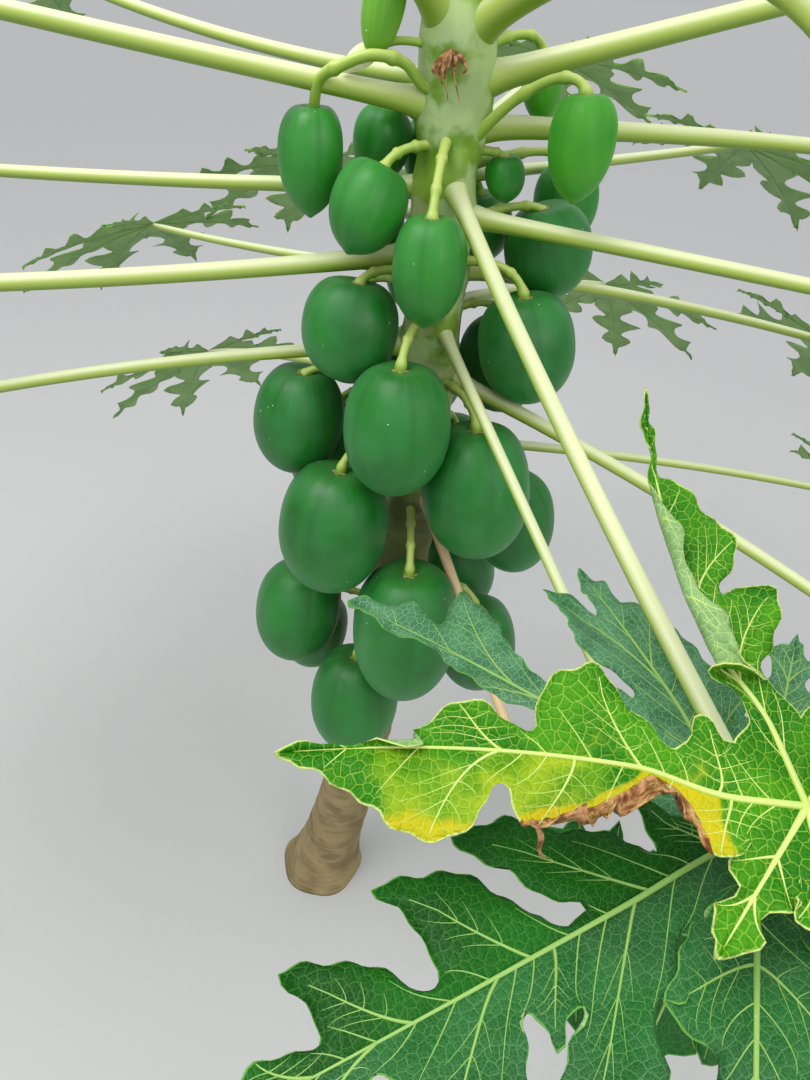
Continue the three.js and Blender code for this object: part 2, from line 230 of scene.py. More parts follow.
# %% Mottling and streaks
def effect(name, inputs, outputs):
    tree = bpy.data.node_groups.new(name, 'ShaderNodeTree')
    for label, kind, value in inputs:
        socket = tree.interface.new_socket(label, in_out='INPUT', socket_type=kind)
        if value is not None:
            socket.default_value = value
    for label in outputs:
        tree.interface.new_socket(label, in_out='OUTPUT', socket_type='NodeSocketFloat')
    return tree, put(tree, 'NodeGroupInput').outputs, put(tree, 'NodeGroupOutput').inputs


VECTOR, FLOAT = 'NodeSocketVector', 'NodeSocketFloat'


def mottle_effect():
    inputs = [("Vector", VECTOR, None), ("Scale", FLOAT, 20.0)]
    tree, given, result = effect("mottle", inputs, ["Value"])
    broad = noise(tree, given["Vector"], given["Scale"], 4.0)
    tree.links.new(fade(tree, broad, 0.35, 0.65), result["Value"])
    return tree


def streak_effect():
    """Expects a vector whose x and y go round the piece and whose z runs along it."""
    inputs = [("Vector", VECTOR, None), ("Scale", FLOAT, 6.0), ("Stretch", FLOAT, 0.1)]
    tree, given, result = effect("streak", inputs, ["Value"])
    squeeze = from_xyz(tree, 1.0, 1.0, given["Stretch"])
    fibres = noise(tree, scaled(tree, given["Vector"], squeeze), given["Scale"], 5.0)
    tree.links.new(fade(tree, fibres, 0.3, 0.7), result["Value"])
    return tree


print("made from noise alone:", [maker.__name__ for maker in (mottle_effect, streak_effect)])

# %% [markdown]
# Veins and pores both come from cells. The veins are where a cell's edge is near, bent a little by
# noise so that none runs straight. A pore is round a cell's middle.

# %% Veins, pores and using an effect
def vein_net_effect():
    """A net of cells: Line is 1 on the net, Cushion rises to 1 inside each cell."""
    inputs = [("Vector", VECTOR, None), ("Scale", FLOAT, 100.0), ("Width", FLOAT, 0.05)]
    tree, given, result = effect("vein_net", inputs, ["Line", "Cushion"])
    wobble = put(tree, 'ShaderNodeTexNoise', {"Vector": given["Vector"], "Scale": 60.0, "Detail": 2.0})
    shift = put(tree, 'ShaderNodeVectorMath', {0: wobble.outputs["Color"], "Scale": 0.006}, operation='SCALE')
    place = put(tree, 'ShaderNodeVectorMath', {0: given["Vector"], 1: shift.outputs[0]}, operation='ADD')
    sockets = {"Vector": place.outputs[0], "Scale": given["Scale"], "Randomness": 0.85}
    cells = put(tree, 'ShaderNodeTexVoronoi', sockets, feature='DISTANCE_TO_EDGE', voronoi_dimensions='2D')
    edge = cells.outputs["Distance"]
    wide = maths(tree, 'MULTIPLY', given["Width"], 2.0)
    tree.links.new(ramp(tree, edge, given["Width"], wide, 1.0, 0.0), result["Line"])
    tree.links.new(fade(tree, edge, 0.0, 0.35), result["Cushion"])
    return tree


def pore_effect():
    inputs = [("Vector", VECTOR, None), ("Scale", FLOAT, 300.0), ("Size", FLOAT, 0.1)]
    tree, given, result = effect("pores", inputs, ["Dot"])
    cells = put(tree, 'ShaderNodeTexVoronoi', {"Vector": given["Vector"], "Scale": given["Scale"]})
    tree.links.new(ramp(tree, cells.outputs["Distance"], 0.0, given["Size"], 1.0, 0.0), result["Dot"])
    return tree


MAKERS = (mottle_effect, streak_effect, vein_net_effect, pore_effect)
EFFECTS = {tree.name: tree for tree in [maker() for maker in MAKERS]}


def use(tree, name, **values):
    return put(tree, 'ShaderNodeGroup', values, node_tree=EFFECTS[name]).outputs


print("effects:", sorted(EFFECTS))

# %% [markdown]
# ## Finishes
# Each finish is one Principled shader. A small starter makes the material and hands over its tree,
# its shader and the object coordinates, which stay put when the camera moves.

# %% Starting a finish
def finish(name, rough):
    material = bpy.data.materials.new(name)
    material.use_nodes = True
    tree = material.node_tree
    shader = tree.nodes["Principled BSDF"]
    shader.inputs["Roughness"].default_value = rough
    place = put(tree, 'ShaderNodeTexCoord').outputs["Object"]
    return material, tree, shader, place


def colour(tree, shader, value):
    tree.links.new(value, shader.inputs["Base Color"])


def relief(tree, shader, height, distance, strength):
    sockets = {"Height": height, "Distance": distance, "Strength": strength}
    tree.links.new(put(tree, 'ShaderNodeBump', sockets).outputs[0], shader.inputs["Normal"])


def roughness(tree, shader, mask, low, high):
    """Roughness that goes from low to high with the mask."""
    tree.links.new(ramp(tree, mask, 0.0, 1.0, low, high), shader.inputs["Roughness"])


print("materials before the first finish:", len(bpy.data.materials))

# %% [markdown]
# A leaf blade is deep green with a net of pale veins, slightly cushioned between them, and a thin
# pale rim. Its points carry three values. `flat` is the place in the leaf's own plane, so the net
# lies on the leaf however it droops. `margin` is the distance to the outline in metres.
# `sky_reflection` is 1 where a leaf reflects the bluish sky, which is painted into its colour with a
# silvery mottle and paler veins, and 0 where it is missing.

# %% Leaf blade finish
LEAF_SPECULAR = 0.16
LEAF_ROUGHNESS = 0.5
COARSE_NET, FINE_NET = 165.0, 420.0
RIM_FROM, RIM_TO = 0.0014, 0.0004
# The first two colours are the painted sky reflection and its veins; the specks are brown marks.
REFLECTION_SILVER, REFLECTION_VEIN, BROWN_SPECK = rgb(88, 146, 102), rgb(186, 220, 186), rgb(120, 84, 44)


def veined(tree, green, vein, flat, coarse_share, fine_share):
    """Puts both vein nets over a colour; also gives the height of the cushions between veins."""
    coarse = use(tree, "vein_net", Vector=flat, Scale=COARSE_NET, Width=0.022)
    fine = use(tree, "vein_net", Vector=flat, Scale=FINE_NET, Width=0.04)
    green = tint(tree, green, vein, fine["Line"], fine_share)
    green = tint(tree, green, vein, coarse["Line"], coarse_share)
    return green, maths(tree, 'ADD', coarse["Cushion"], maths(tree, 'MULTIPLY', fine["Cushion"], 0.3))


def blade_finish(name, deep, fresh, vein, sky_reflection=rgb(58, 120, 84), vein_share=0.3):
    material, tree, shader, place = finish("blade_" + name, LEAF_ROUGHNESS)
    green = blend(tree, use(tree, "mottle", Vector=place, Scale=14.0)["Value"], deep, fresh)
    # Where the leaf reflects the sky, a bluish reflection is painted into the colour, with a silvery mottle
    # and a stronger, paler vein net.
    reflection_share = read(tree, "sky_reflection")
    reflection_silver = blend(tree, use(tree, "mottle", Vector=place, Scale=42.0)["Value"], sky_reflection, REFLECTION_SILVER)
    green = blend(tree, reflection_share, green, reflection_silver)
    line = blend(tree, reflection_share, vein, REFLECTION_VEIN)
    coarse_share = maths(tree, 'MULTIPLY_ADD', reflection_share, 0.2, vein_share)
    fine_share = maths(tree, 'MULTIPLY_ADD', reflection_share, 0.12, 0.15)
    green, height = veined(tree, green, line, read_vector(tree, "flat"), coarse_share, fine_share)
    green = blend(tree, fade(tree, read(tree, "margin"), RIM_FROM, RIM_TO), green, vein)
    speck = use(tree, "pores", Vector=place, Scale=26.0, Size=0.06)["Dot"]
    some = fade(tree, noise(tree, place, 9.0, 2.0), 0.52, 0.6)
    colour(tree, shader, tint(tree, green, BROWN_SPECK, speck, some))
    relief(tree, shader, height, 0.0007, 0.35)
    shader.inputs["Specular IOR Level"].default_value = LEAF_SPECULAR
    return material


BLADES = {
    "old": blade_finish("old", rgb(12, 74, 22), rgb(28, 98, 32), rgb(108, 156, 84)),
    "grown": blade_finish("grown", rgb(14, 88, 14), rgb(36, 114, 24), rgb(126, 174, 72)),
    "young": blade_finish("young", rgb(34, 110, 10), rgb(68, 140, 22), rgb(150, 190, 76)),
    "dark": blade_finish("dark", rgb(2, 66, 4), rgb(10, 90, 8), rgb(104, 164, 70), rgb(58, 118, 76), 0.26),
}
print("blades so far:", sorted(BLADES))

# %% [markdown]
# The underside is paler and duller. Where a leaf has died it is brown and crusty on both faces, so
# what withers a blade is a helper that both finishes use. A mesh without `dead` reads as alive.

# %% Withered parts and the underside
def withered(tree, green, place, shift):
    """Turns a blade brown and crusty where its points are dead; gives the colour and the crust."""
    crust = noise(tree, place, 160.0, 6.0)
    brown = blend(tree, fade(tree, crust, 0.35, 0.65), rgb(112, 66, 30), rgb(206, 156, 104))
    dead = fade(tree, maths(tree, 'ADD', read(tree, "dead"), shift), 0.42, 0.56)
    return blend(tree, dead, green, brown), maths(tree, 'MULTIPLY', dead, maths(tree, 'MULTIPLY', crust, 5.0))


def underside_finish():
    material, tree, shader, place = finish("blade_underside", 0.6)
    patch = use(tree, "mottle", Vector=place, Scale=18.0)["Value"]
    pale = blend(tree, patch, rgb(112, 156, 84), rgb(136, 176, 104))
    pale, cushion = veined(tree, pale, rgb(184, 206, 144), read_vector(tree, "flat"), 0.6, 0.2)
    pale, crust = withered(tree, pale, place, 0.0)
    colour(tree, shader, pale)
    relief(tree, shader, maths(tree, 'ADD', cushion, crust), 0.001, 0.5)
    return material


UNDERSIDE = underside_finish()
print("underside:", UNDERSIDE.name)

# %% [markdown]
# The near leaf is dying from one side. Its mesh carries three more values, `yellow`, `bright` and
# `dead`, made from where a point lies on the leaf, and the finish turns them into ragged patches:
# lime, then full yellow beside the part that has died.

# %% Turning leaf finish
def turning_finish():
    material, tree, shader, place = finish("blade_turning", 0.45)
    flat = read_vector(tree, "flat")
    ragged = maths(tree, 'SUBTRACT', noise(tree, flat, 24.0, 6.0), 0.5)
    shift = maths(tree, 'MULTIPLY', ragged, 2.4)
    patch = use(tree, "mottle", Vector=place, Scale=30.0)["Value"]
    green = blend(tree, patch, rgb(24, 108, 0), rgb(62, 138, 4))
    lime = blend(tree, patch, rgb(92, 146, 8), rgb(152, 174, 26))
    yellow = blend(tree, patch, rgb(198, 178, 0), rgb(178, 172, 6))
    ill = fade(tree, maths(tree, 'ADD', read(tree, "yellow"), shift), 0.28, 0.75)
    bright = fade(tree, maths(tree, 'ADD', read(tree, "bright"), shift), 0.45, 0.85)
    green = blend(tree, bright, blend(tree, ill, green, lime), yellow)
    green, cushion = veined(tree, green, rgb(170, 202, 66), flat, 0.5, 0.12)
    rim = fade(tree, read(tree, "margin"), RIM_FROM, RIM_TO)
    green = blend(tree, rim, green, rgb(200, 218, 124))
    green, crust = withered(tree, green, place, maths(tree, 'MULTIPLY', shift, 0.3))
    colour(tree, shader, green)
    relief(tree, shader, maths(tree, 'ADD', cushion, crust), 0.001, 0.6)
    shader.inputs["Specular IOR Level"].default_value = LEAF_SPECULAR
    return material


BLADES["turning"] = turning_finish()
print("blades:", sorted(BLADES))

# %% [markdown]
# Stalks and ribs come from one geometry tree, which leaves two values on them: `along`, from 0 at
# the foot to 1 at the end, and `flow`, which circles the tube in x and y and runs along it in z.
# A leaf stalk is green at its foot. Further out its creamy upper side is a painted highlight, and its darker
# underside is painted shade.

# %% Stalk finishes
def stalk_finish(name, under, side, sky, rough=0.36, streaks=0.08):
    material, tree, shader, place = finish(name, rough)
    normal = put(tree, 'ShaderNodeNewGeometry').outputs["Normal"]
    up = z_of(tree, normal)
    # Painted light by facing: shade on the underside, the stalk's own colour on its sides, and past the foot
    # a creamy painted highlight on the upper side.
    base = blend(tree, fade(tree, up, -0.9, 0.2), under, side)
    pale = maths(tree, 'MULTIPLY', fade(tree, up, 0.05, 0.8), fade(tree, read(tree, "along"), -0.15, 0.12))
    base = tint(tree, base, sky, pale, 0.85)
    streak = use(tree, "streak", Vector=read_vector(tree, "flow"), Scale=5.0, Stretch=0.12)["Value"]
    base = tint(tree, base, under, streak, streaks)
    dot = use(tree, "pores", Vector=place, Scale=90.0, Size=0.07)["Dot"]
    colour(tree, shader, tint(tree, base, rgb(240, 244, 214), dot, 0.6))
    relief(tree, shader, maths(tree, 'ADD', maths(tree, 'MULTIPLY', streak, streaks), dot), 0.0004, 0.5)
    return material


# Each finish takes an underside colour for painted shade and for streaks, its own side colour, and an upper
# colour for the painted highlight.
STALK = stalk_finish("leaf_stalk", rgb(112, 146, 30), rgb(176, 196, 92), rgb(236, 238, 192))
RIB = stalk_finish("leaf_rib", rgb(104, 146, 56), rgb(120, 162, 74), rgb(150, 190, 98), 0.45)
RIB_TURNING = stalk_finish("leaf_rib_turning", rgb(160, 192, 70), rgb(180, 208, 92), rgb(206, 222, 126), 0.4)
FRUIT_STALK = stalk_finish("fruit_stalk", rgb(110, 150, 34), rgb(156, 186, 70), rgb(204, 220, 120), 0.4)
DRY = stalk_finish("dry_stalk", rgb(176, 136, 90), rgb(226, 190, 140), rgb(240, 212, 168), 0.75, 0.4)
print("stalk finishes:", [material.name for material in (STALK, RIB, RIB_TURNING, FRUIT_STALK, DRY)])

# %% [markdown]
# The fruit's skin is smooth, and dark green under a thin grey-green wax in soft patches. The same pale
# colour is laid on more thickly towards the outline, as a painted sheen that follows the angle of view.
# Faint darker lines run from the stalk down the skin; the grooves between its five ridges are darkened
# as painted shade, and the top is lightened as a painted highlight. `skin` circles the fruit in x and y,
# and its z runs from 0 at the top to 1 at the tip. `groove` is 1 between two ridges.

# %% Fruit finishes
SKIN_ROUGHNESS = 0.4


def fruit_finish(name, deep, fresh, wax_and_sheen):
    material, tree, shader, place = finish("skin_" + name, SKIN_ROUGHNESS)
    skin = read_vector(tree, "skin")
    down = z_of(tree, skin)
    base = tint(tree, deep, fresh, use(tree, "mottle", Vector=place, Scale=9.0)["Value"], 0.8)
    broad = use(tree, "streak", Vector=skin, Scale=3.2, Stretch=0.22)["Value"]
    base = tint(tree, base, fresh, broad, 0.3)
    wax = use(tree, "mottle", Vector=place, Scale=34.0)["Value"]
    # The wax colour is also laid on towards the outline, by the angle of view: a painted sheen.
    painted_sheen = fade(tree, put(tree, 'ShaderNodeLayerWeight', {"Blend": 0.5}).outputs["Facing"], 0.35, 1.0)
    film = maths(tree, 'MULTIPLY_ADD', wax, 0.12, 0.04)
    base = blend(tree, maths(tree, 'MULTIPLY_ADD', painted_sheen, 0.3, film), base, wax_and_sheen)
    fine = use(tree, "streak", Vector=skin, Scale=11.0, Stretch=0.12)["Value"]
    base = tint(tree, base, deep, maths(tree, 'MULTIPLY', fine, fade(tree, down, 0.55, 0.1)), 0.15)
    # The grooves between the ridges are darkened: painted shade.
    base = tint(tree, base, deep, read(tree, "groove"), 0.5)
    # The top and shoulders are lightened: a painted highlight.
    base = tint(tree, base, rgb(84, 152, 70), fade(tree, down, 0.24, 0.02), 0.4)
    dot = use(tree, "pores", Vector=place, Scale=150.0, Size=0.07)["Dot"]
    colour(tree, shader, tint(tree, base, rgb(150, 190, 140), dot, 0.5))
    height = maths(tree, 'MULTIPLY_ADD', fine, 0.4, maths(tree, 'ADD', broad, wax))
    relief(tree, shader, height, 0.0006, 0.4)
    roughness(tree, shader, wax, SKIN_ROUGHNESS, SKIN_ROUGHNESS + 0.14)
    return material


SKINS = {
    "full": fruit_finish("full", rgb(6, 90, 14), rgb(26, 128, 34), rgb(84, 150, 104)),
    "half": fruit_finish("half", rgb(10, 102, 12), rgb(42, 142, 34), rgb(86, 158, 94)),
    "bright": fruit_finish("bright", rgb(30, 134, 4), rgb(72, 162, 16), rgb(96, 172, 60)),
    "small": fruit_finish("small", rgb(80, 150, 14), rgb(132, 184, 40), rgb(150, 196, 90)),
}
print("skins:", sorted(SKINS))

# %% [markdown]
# The small parts need no more than two colours in soft patches: the calyx, drops of dried milk, a
# flower bud, what is left of a flower, and the folded leaves at the tip.

# %% Plain finishes
def plain_finish(name, first, second, scale, rough, depth=0.0005):
    material, tree, shader, place = finish(name, rough)
    patch = use(tree, "mottle", Vector=place, Scale=scale)["Value"]
    colour(tree, shader, blend(tree, patch, first, second))
    relief(tree, shader, patch, depth, 0.6)
    return material


CALYX = plain_finish("calyx", rgb(126, 132, 62), rgb(172, 164, 100), 220.0, 0.7)
LATEX = plain_finish("latex", rgb(214, 222, 190), rgb(240, 242, 226), 300.0, 0.3)
BUD = plain_finish("bud", rgb(214, 220, 150), rgb(240, 238, 204), 120.0, 0.5)
WITHERED = plain_finish("withered", rgb(118, 74, 42), rgb(196, 148, 102), 160.0, 0.85, 0.0012)
TIP_GREEN = plain_finish("tip_bud", rgb(110, 160, 60), rgb(156, 190, 90), 80.0, 0.5)
print("materials so far:", len(bpy.data.materials))

# %% [markdown]
# The trunk's skin is old grey-brown cork below, and young green under white wax above. Where one
# turns into the other, among the fruit, a dull dark olive band is painted shade. The change follows
# the height. The mesh carries `scar`, which is 1 inside the mark of a fallen leaf.

# %% Bark finish
YOUNG_BARK_FROM, YOUNG_BARK_TO = 0.7, 1.05


def bark_finish():
    material, tree, shader, place = finish("bark", 0.8)
    height = z_of(tree, place)
    patch = use(tree, "mottle", Vector=place, Scale=22.0)["Value"]
    squash = scaled(tree, place, (1.0, 1.0, 9.0))
    bands = use(tree, "mottle", Vector=squash, Scale=16.0)["Value"]
    cork = blend(tree, patch, rgb(114, 96, 58), rgb(146, 128, 86))
    cork = tint(tree, cork, rgb(170, 154, 116), bands, 0.3)
    green = blend(tree, patch, rgb(100, 142, 22), rgb(146, 182, 62))
    wax = fade(tree, noise(tree, place, 17.0, 8.0), 0.5, 0.6)
    green = tint(tree, green, rgb(216, 228, 184), wax, 0.42)
    wobble = maths(tree, 'MULTIPLY', maths(tree, 'SUBTRACT', patch, 0.5), 0.12)
    young = fade(tree, maths(tree, 'ADD', height, wobble), YOUNG_BARK_FROM, YOUNG_BARK_TO)
    # A dark olive band where cork turns to green: painted shade of the fruit hanging there.
    between = maths(tree, 'MULTIPLY', young, maths(tree, 'SUBTRACT', 1.0, young))
    base = tint(tree, blend(tree, young, cork, green), rgb(74, 84, 42), between, 2.6)
    mark = blend(tree, young, rgb(108, 88, 58), rgb(184, 190, 132))
    base = tint(tree, base, mark, read(tree, "scar"), 0.55)
    dot = use(tree, "pores", Vector=place, Scale=170.0, Size=0.1)["Dot"]
    colour(tree, shader, tint(tree, base, rgb(200, 190, 158), dot, 0.4))
    rough_bark = maths(tree, 'MULTIPLY_ADD', bands, 0.6, noise(tree, squash, 70.0, 6.0))
    old = maths(tree, 'SUBTRACT', 1.06, young)
    relief(tree, shader, maths(tree, 'MULTIPLY', rough_bark, old), 0.0012, 0.7)
    roughness(tree, shader, young, 0.85, 0.42)
    return material


BARK = bark_finish()
print("bark nodes:", len(BARK.node_tree.nodes))

# %% [markdown]
# ## Helpers for shapes
# Directions on the plant are an azimuth round the trunk and an elevation above the level, in
# degrees, as the solids' rule has them. Steps and humps between 0 and 1 shape most of the swellings
# and marks.

# %% Directions, steps and humps
UP = np.array((0.0, 0.0, 1.0))


def heading(azimuth, elevation=0.0):
    a, e = math.radians(azimuth), math.radians(elevation)
    return np.array((math.cos(e) * math.cos(a), math.cos(e) * math.sin(a), math.sin(e)))


def smooth(value, low, high):
    part = np.clip((value - low) / (high - low), 0.0, 1.0)
    return part * part * (3 - 2 * part)


def hump(value, middle, width):
    """1 at the middle, and soon 0 on both sides of it."""
    return np.exp(-((value - middle) / width) ** 2)


def full_turn(steps):
    return np.linspace(0, math.tau, steps, endpoint=False)


print("azimuth 90 is", heading(90).round(3))

# %% [markdown]
# Most pieces are grids of points that a rule puts in place. These helpers make such a grid a mesh,
# whose points can carry values for the finish to read.

# %% Grids and meshes
def plain_mesh(name, points, faces, material, **values):
    """A smooth mesh whose points carry named values, as numbers or as vectors."""
    mesh = bpy.data.meshes.new(name)
    mesh.from_pydata(np.asarray(points).tolist(), [], faces)
    for label, data in values.items():
        kind, field = ('FLOAT_VECTOR', "vector") if data.ndim == 2 else ('FLOAT', "value")
        slot = mesh.attributes.new(label, kind, 'POINT')
        slot.data.foreach_set(field, data.astype(np.float32).ravel())
    mesh.materials.append(material)
    mesh.shade_smooth()
    return mesh


def grid_faces(rows, columns, closed=False):
    """Quads of a grid of points numbered row by row; closed joins the last column to the first."""
    across = columns if closed else columns - 1
    row, column = np.meshgrid(np.arange(rows - 1), np.arange(across), indexing='ij')
    after = (column + 1) % columns
    here, below = row * columns, (row + 1) * columns
    corners = [here + column, here + after, below + after, below + column]
    return np.stack(corners, axis=-1).reshape(-1, 4)


def shell_faces(rows, columns, rising=False):
    """A closed grid's faces with a fan over each end, round the two points that follow the grid."""
    quads = grid_faces(rows, columns, closed=True)
    faces = (quads if rising else quads[:, ::-1]).tolist()
    end, last = rows * columns, (rows - 1) * columns
    for i in range(columns):
        j = (i + 1) % columns
        near, far = (j, i) if rising else (i, j)
        faces += [(end, near, far), (end + 1, last + far, last + near)]
    return faces


print("a grid of 3 by 4 points has", len(grid_faces(3, 4)), "faces")

# %% [markdown]
# A piece is joined from several meshes, rides on the plant's one body and stands in for its solid.

# %% Pieces
def as_object(mesh):
    thing = bpy.data.objects.new(mesh.name, mesh)
    bpy.context.scene.collection.objects.link(thing)
    return thing


def joined(name, meshes):
    """One mesh from several, with their materials and point values kept."""
    things = [as_object(mesh) for mesh in meshes]
    with bpy.context.temp_override(active_object=things[0], selected_editable_objects=things):
        bpy.ops.object.join()
    mesh = things[0].data
    mesh.name = name
    bpy.data.objects.remove(things[0])
    return mesh


PIECES = []


def add_piece(name, mesh, slot, *nodes):
    """Puts a finished mesh on the plant's one body, in place of the solids it stands for."""
    piece = as_object(mesh)
    piece.name = name
    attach(piece, "root")
    if nodes:
        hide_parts(*nodes)
    PIECES.append(piece)
    return piece


print("pieces so far:", len(PIECES))

# %% [markdown]
# ## Geometry Nodes
# Two things repeat or follow a line on this plant: round stems, and drops on a skin. Each gets one
# tree with named inputs. Both trees end alike: real geometry in place of instances, smooth, and in
# its material.

# %% Helpers for geometry trees
def geometry_tree(name, inputs, output):
    """A new tree with its sockets; also gives what comes in."""
    tree = bpy.data.node_groups.new(name, 'GeometryNodeTree')
    for label, kind in inputs:
        tree.interface.new_socket(label, in_out='INPUT', socket_type='NodeSocket' + kind)
    tree.interface.new_socket(output, in_out='OUTPUT', socket_type='NodeSocketGeometry')
    return tree, put(tree, 'NodeGroupInput').outputs


def made(tree, kind, sockets=None, **settings):
    """The first output of a new geometry node."""
    return put(tree, 'GeometryNode' + kind, sockets, **settings).outputs[0]


def store(tree, geometry, name, value, kind='FLOAT'):
    sockets = {"Geometry": geometry, "Name": name, "Value": value}
    return made(tree, 'StoreNamedAttribute', sockets, data_type=kind)


def stored(tree, name, kind='FLOAT'):
    return made(tree, 'InputNamedAttribute', {"Name": name}, data_type=kind)


def end_tree(tree, geometry, material, output):
    geometry = made(tree, 'RealizeInstances', {"Geometry": geometry})
    geometry = made(tree, 'SetShadeSmooth', {"Geometry": geometry})
    geometry = made(tree, 'SetMaterial', {"Geometry": geometry, "Material": material})
    put(tree, 'NodeGroupOutput', {output: geometry})


def grown(tree, mesh, **inputs):
    """Runs a geometry tree on a mesh, and gives the result back as a plain mesh."""
    source = as_object(mesh)
    modifier = source.modifiers.new("grow", 'NODES')
    modifier.node_group = tree
    for item in tree.interface.items_tree:
        if item.name in inputs:
            modifier[item.identifier] = inputs[item.name]
    depsgraph = bpy.context.evaluated_depsgraph_get()
    result = bpy.data.meshes.new_from_object(source.evaluated_get(depsgraph), depsgraph=depsgraph)
    source.modifiers.remove(modifier)
    bpy.data.objects.remove(source)
    return result


print("node groups before the first geometry tree:", len(bpy.data.node_groups))

# %% [markdown]
# Leaf stalks, ribs, fruit stalks and dry threads are all round stems that follow a line and change
# their thickness. One tree sweeps a circle along every line of a mesh. `thick` on the line's points
# is the radius there. The tree notes where each point lies along and round the stem, so that the
# stalk finishes can follow it.

# %% The stem tree
FLOW_LENGTH = 20.0


def way_along(tree):
    return put(tree, 'GeometryNodeSplineParameter').outputs["Factor"]


def stem_tree():
    inputs = [("Lines", 'Geometry'), ("Sides", 'Int'), ("Finish", 'Material')]
    tree, given = geometry_tree("stems_along_lines", inputs, "Stems")
    curve = made(tree, 'MeshToCurve', {"Mesh": given["Lines"]})
    curve = store(tree, curve, "along", way_along(tree))
    ring = made(tree, 'CurvePrimitiveCircle', {"Resolution": given["Sides"], "Radius": 1.0})
    turn = maths(tree, 'MULTIPLY', way_along(tree), math.tau)
    place = from_xyz(tree, maths(tree, 'COSINE', turn), maths(tree, 'SINE', turn))
    ring = store(tree, ring, "around", place, 'FLOAT_VECTOR')
    sockets = {"Curve": curve, "Profile Curve": ring, "Scale": stored(tree, "thick"), "Fill Caps": True}
    swept = made(tree, 'CurveToMesh', sockets)
    lift = from_xyz(tree, z=maths(tree, 'MULTIPLY', stored(tree, "along"), FLOW_LENGTH))
    sockets = {0: stored(tree, "around", 'FLOAT_VECTOR'), 1: lift}
    flow = put(tree, 'ShaderNodeVectorMath', sockets, operation='ADD').outputs[0]
    end_tree(tree, store(tree, swept, "flow", flow, 'FLOAT_VECTOR'), given["Finish"], "Stems")
    return tree


STEMS = stem_tree()
print("stem tree:", len(STEMS.nodes), "nodes")

# %% [markdown]
# A stem's line is a row of points with a radius at each. Most lines are smooth curves through a few
# given points, which is the easiest way to make a stalk go where it should.

# %% Growing stems
def stems(name, lines, sides, material):
    """Lines are pairs of points and radii; gives one mesh with a round stem along each."""
    points = np.concatenate([route for route, _ in lines])
    thick = np.concatenate([radii for _, radii in lines])
    edges, start = [], 0
    for route, _ in lines:
        edges += [(start + i, start + i + 1) for i in range(len(route) - 1)]
        start += len(route)
    mesh = bpy.data.meshes.new(name)
    mesh.from_pydata(points.tolist(), edges, [])
    mesh.attributes.new("thick", 'FLOAT', 'POINT').data.foreach_set("value", thick.astype(np.float32))
    return grown(STEMS, mesh, Sides=sides, Finish=material)


def through(points, count):
    """A smooth curve through all the points."""
    points = np.array(points)
    padded = np.vstack([2 * points[0] - points[1], points, 2 * points[-1] - points[-2]])
    spots = np.linspace(0, len(points) - 1, count)
    i = np.minimum(spots.astype(int), len(points) - 2)
    t = (spots - i)[:, None]
    a, b, c, d = (padded[i + k] for k in range(4))
    return b + t / 2 * (c - a + t * (2 * a - 5 * b + 4 * c - d + t * (3 * (b - c) + d - a)))


def cubic(points, count):
    """A curve from the first point to the last that only leans towards the two between."""
    t = np.linspace(0, 1, count)[:, None]
    a, b, c, d = points
    return a * (1 - t) ** 3 + 3 * b * t * (1 - t) ** 2 + 3 * c * t * t * (1 - t) + d * t ** 3


print("half way through 3 points:", through([(0, 0, 0), (1, 1, 0), (2, 0, 0)], 5)[2])

# %% [markdown]
# ## The trunk
# The trunk's axis leans at the ground and straightens as it rises, and its radius is a taper, a root
# flare and a rounded tip, all as in the solid. Finer shape comes on top: leaf scars in a spiral, the
# swollen collars under leaf stalks, and slow rings of growth.

# %% Trunk line and radius
TRUNK_HEIGHT = 1.590
TRUNK_LEAN = 0.142
TRUNK_STRAIGHT_FROM = 1.300
TRUNK_TOP_RADIUS = 0.028
TRUNK_TAPER = 0.024
ROOT_FLARE = 0.026
ROOT_FLARE_HEIGHT = 0.060
SHOOT_BELOW_TOP = 0.090


def trunk_axis(z):
    left = 1 - min(max(z, 0.0) / TRUNK_STRAIGHT_FROM, 1.0)
    return np.array((TRUNK_LEAN * (1 - left * left), 0.0, z))


def trunk_radius(z):
    shaft = TRUNK_TOP_RADIUS + TRUNK_TAPER * (1 - z / TRUNK_HEIGHT)
    shoot = max(0.0, (z - (TRUNK_HEIGHT - SHOOT_BELOW_TOP)) / SHOOT_BELOW_TOP)
    return (shaft + ROOT_FLARE * math.exp(-z / ROOT_FLARE_HEIGHT)) * math.sqrt(max(0.0, 1 - shoot * shoot))


print("trunk radius at the ground:", round(trunk_radius(0), 3))

# %% [markdown]
# ## The leaves
# A lobe's outline is given by a few key points on each side of its main rib, from the bay at
# the hub to the tip, as shares of the lobe's length: along it and across it. A key with a third
# number is a point where a side rib ends, and that number is the rib's foot on the main rib.

# %% Lobe outlines
LOBES = [(-130, 0.6), (-86, 0.82), (-43, 0.94), (0, 1), (43, 0.94), (86, 0.82), (130, 0.6)]
YOUNG_LOBES = [(-100, 0.7), (-50, 0.9), (0, 1), (50, 0.9), (100, 0.7)]
PLAIN_SIDE = [(0.41, 0.15, 0.28), (0.48, 0.055), (0.64, 0.20, 0.46), (0.70, 0.055), (0.84, 0.12, 0.70),
              (0.885, 0.035)]
SMALL_SIDE = [(0.55, 0.20, 0.35), (0.64, 0.10), (0.78, 0.13, 0.60)]
print("side ribs of a plain lobe:", 2 * sum(len(key) == 3 for key in PLAIN_SIDE))

# %% [markdown]
# The two leaves nearest to the camera have outlines of their own. The turning leaf's middle lobe is
# bowed, broken up on one side and withered on the other, and the lobe behind it ends in a thread.
# The dark leaf has long pointed side lobes with deep round bays.

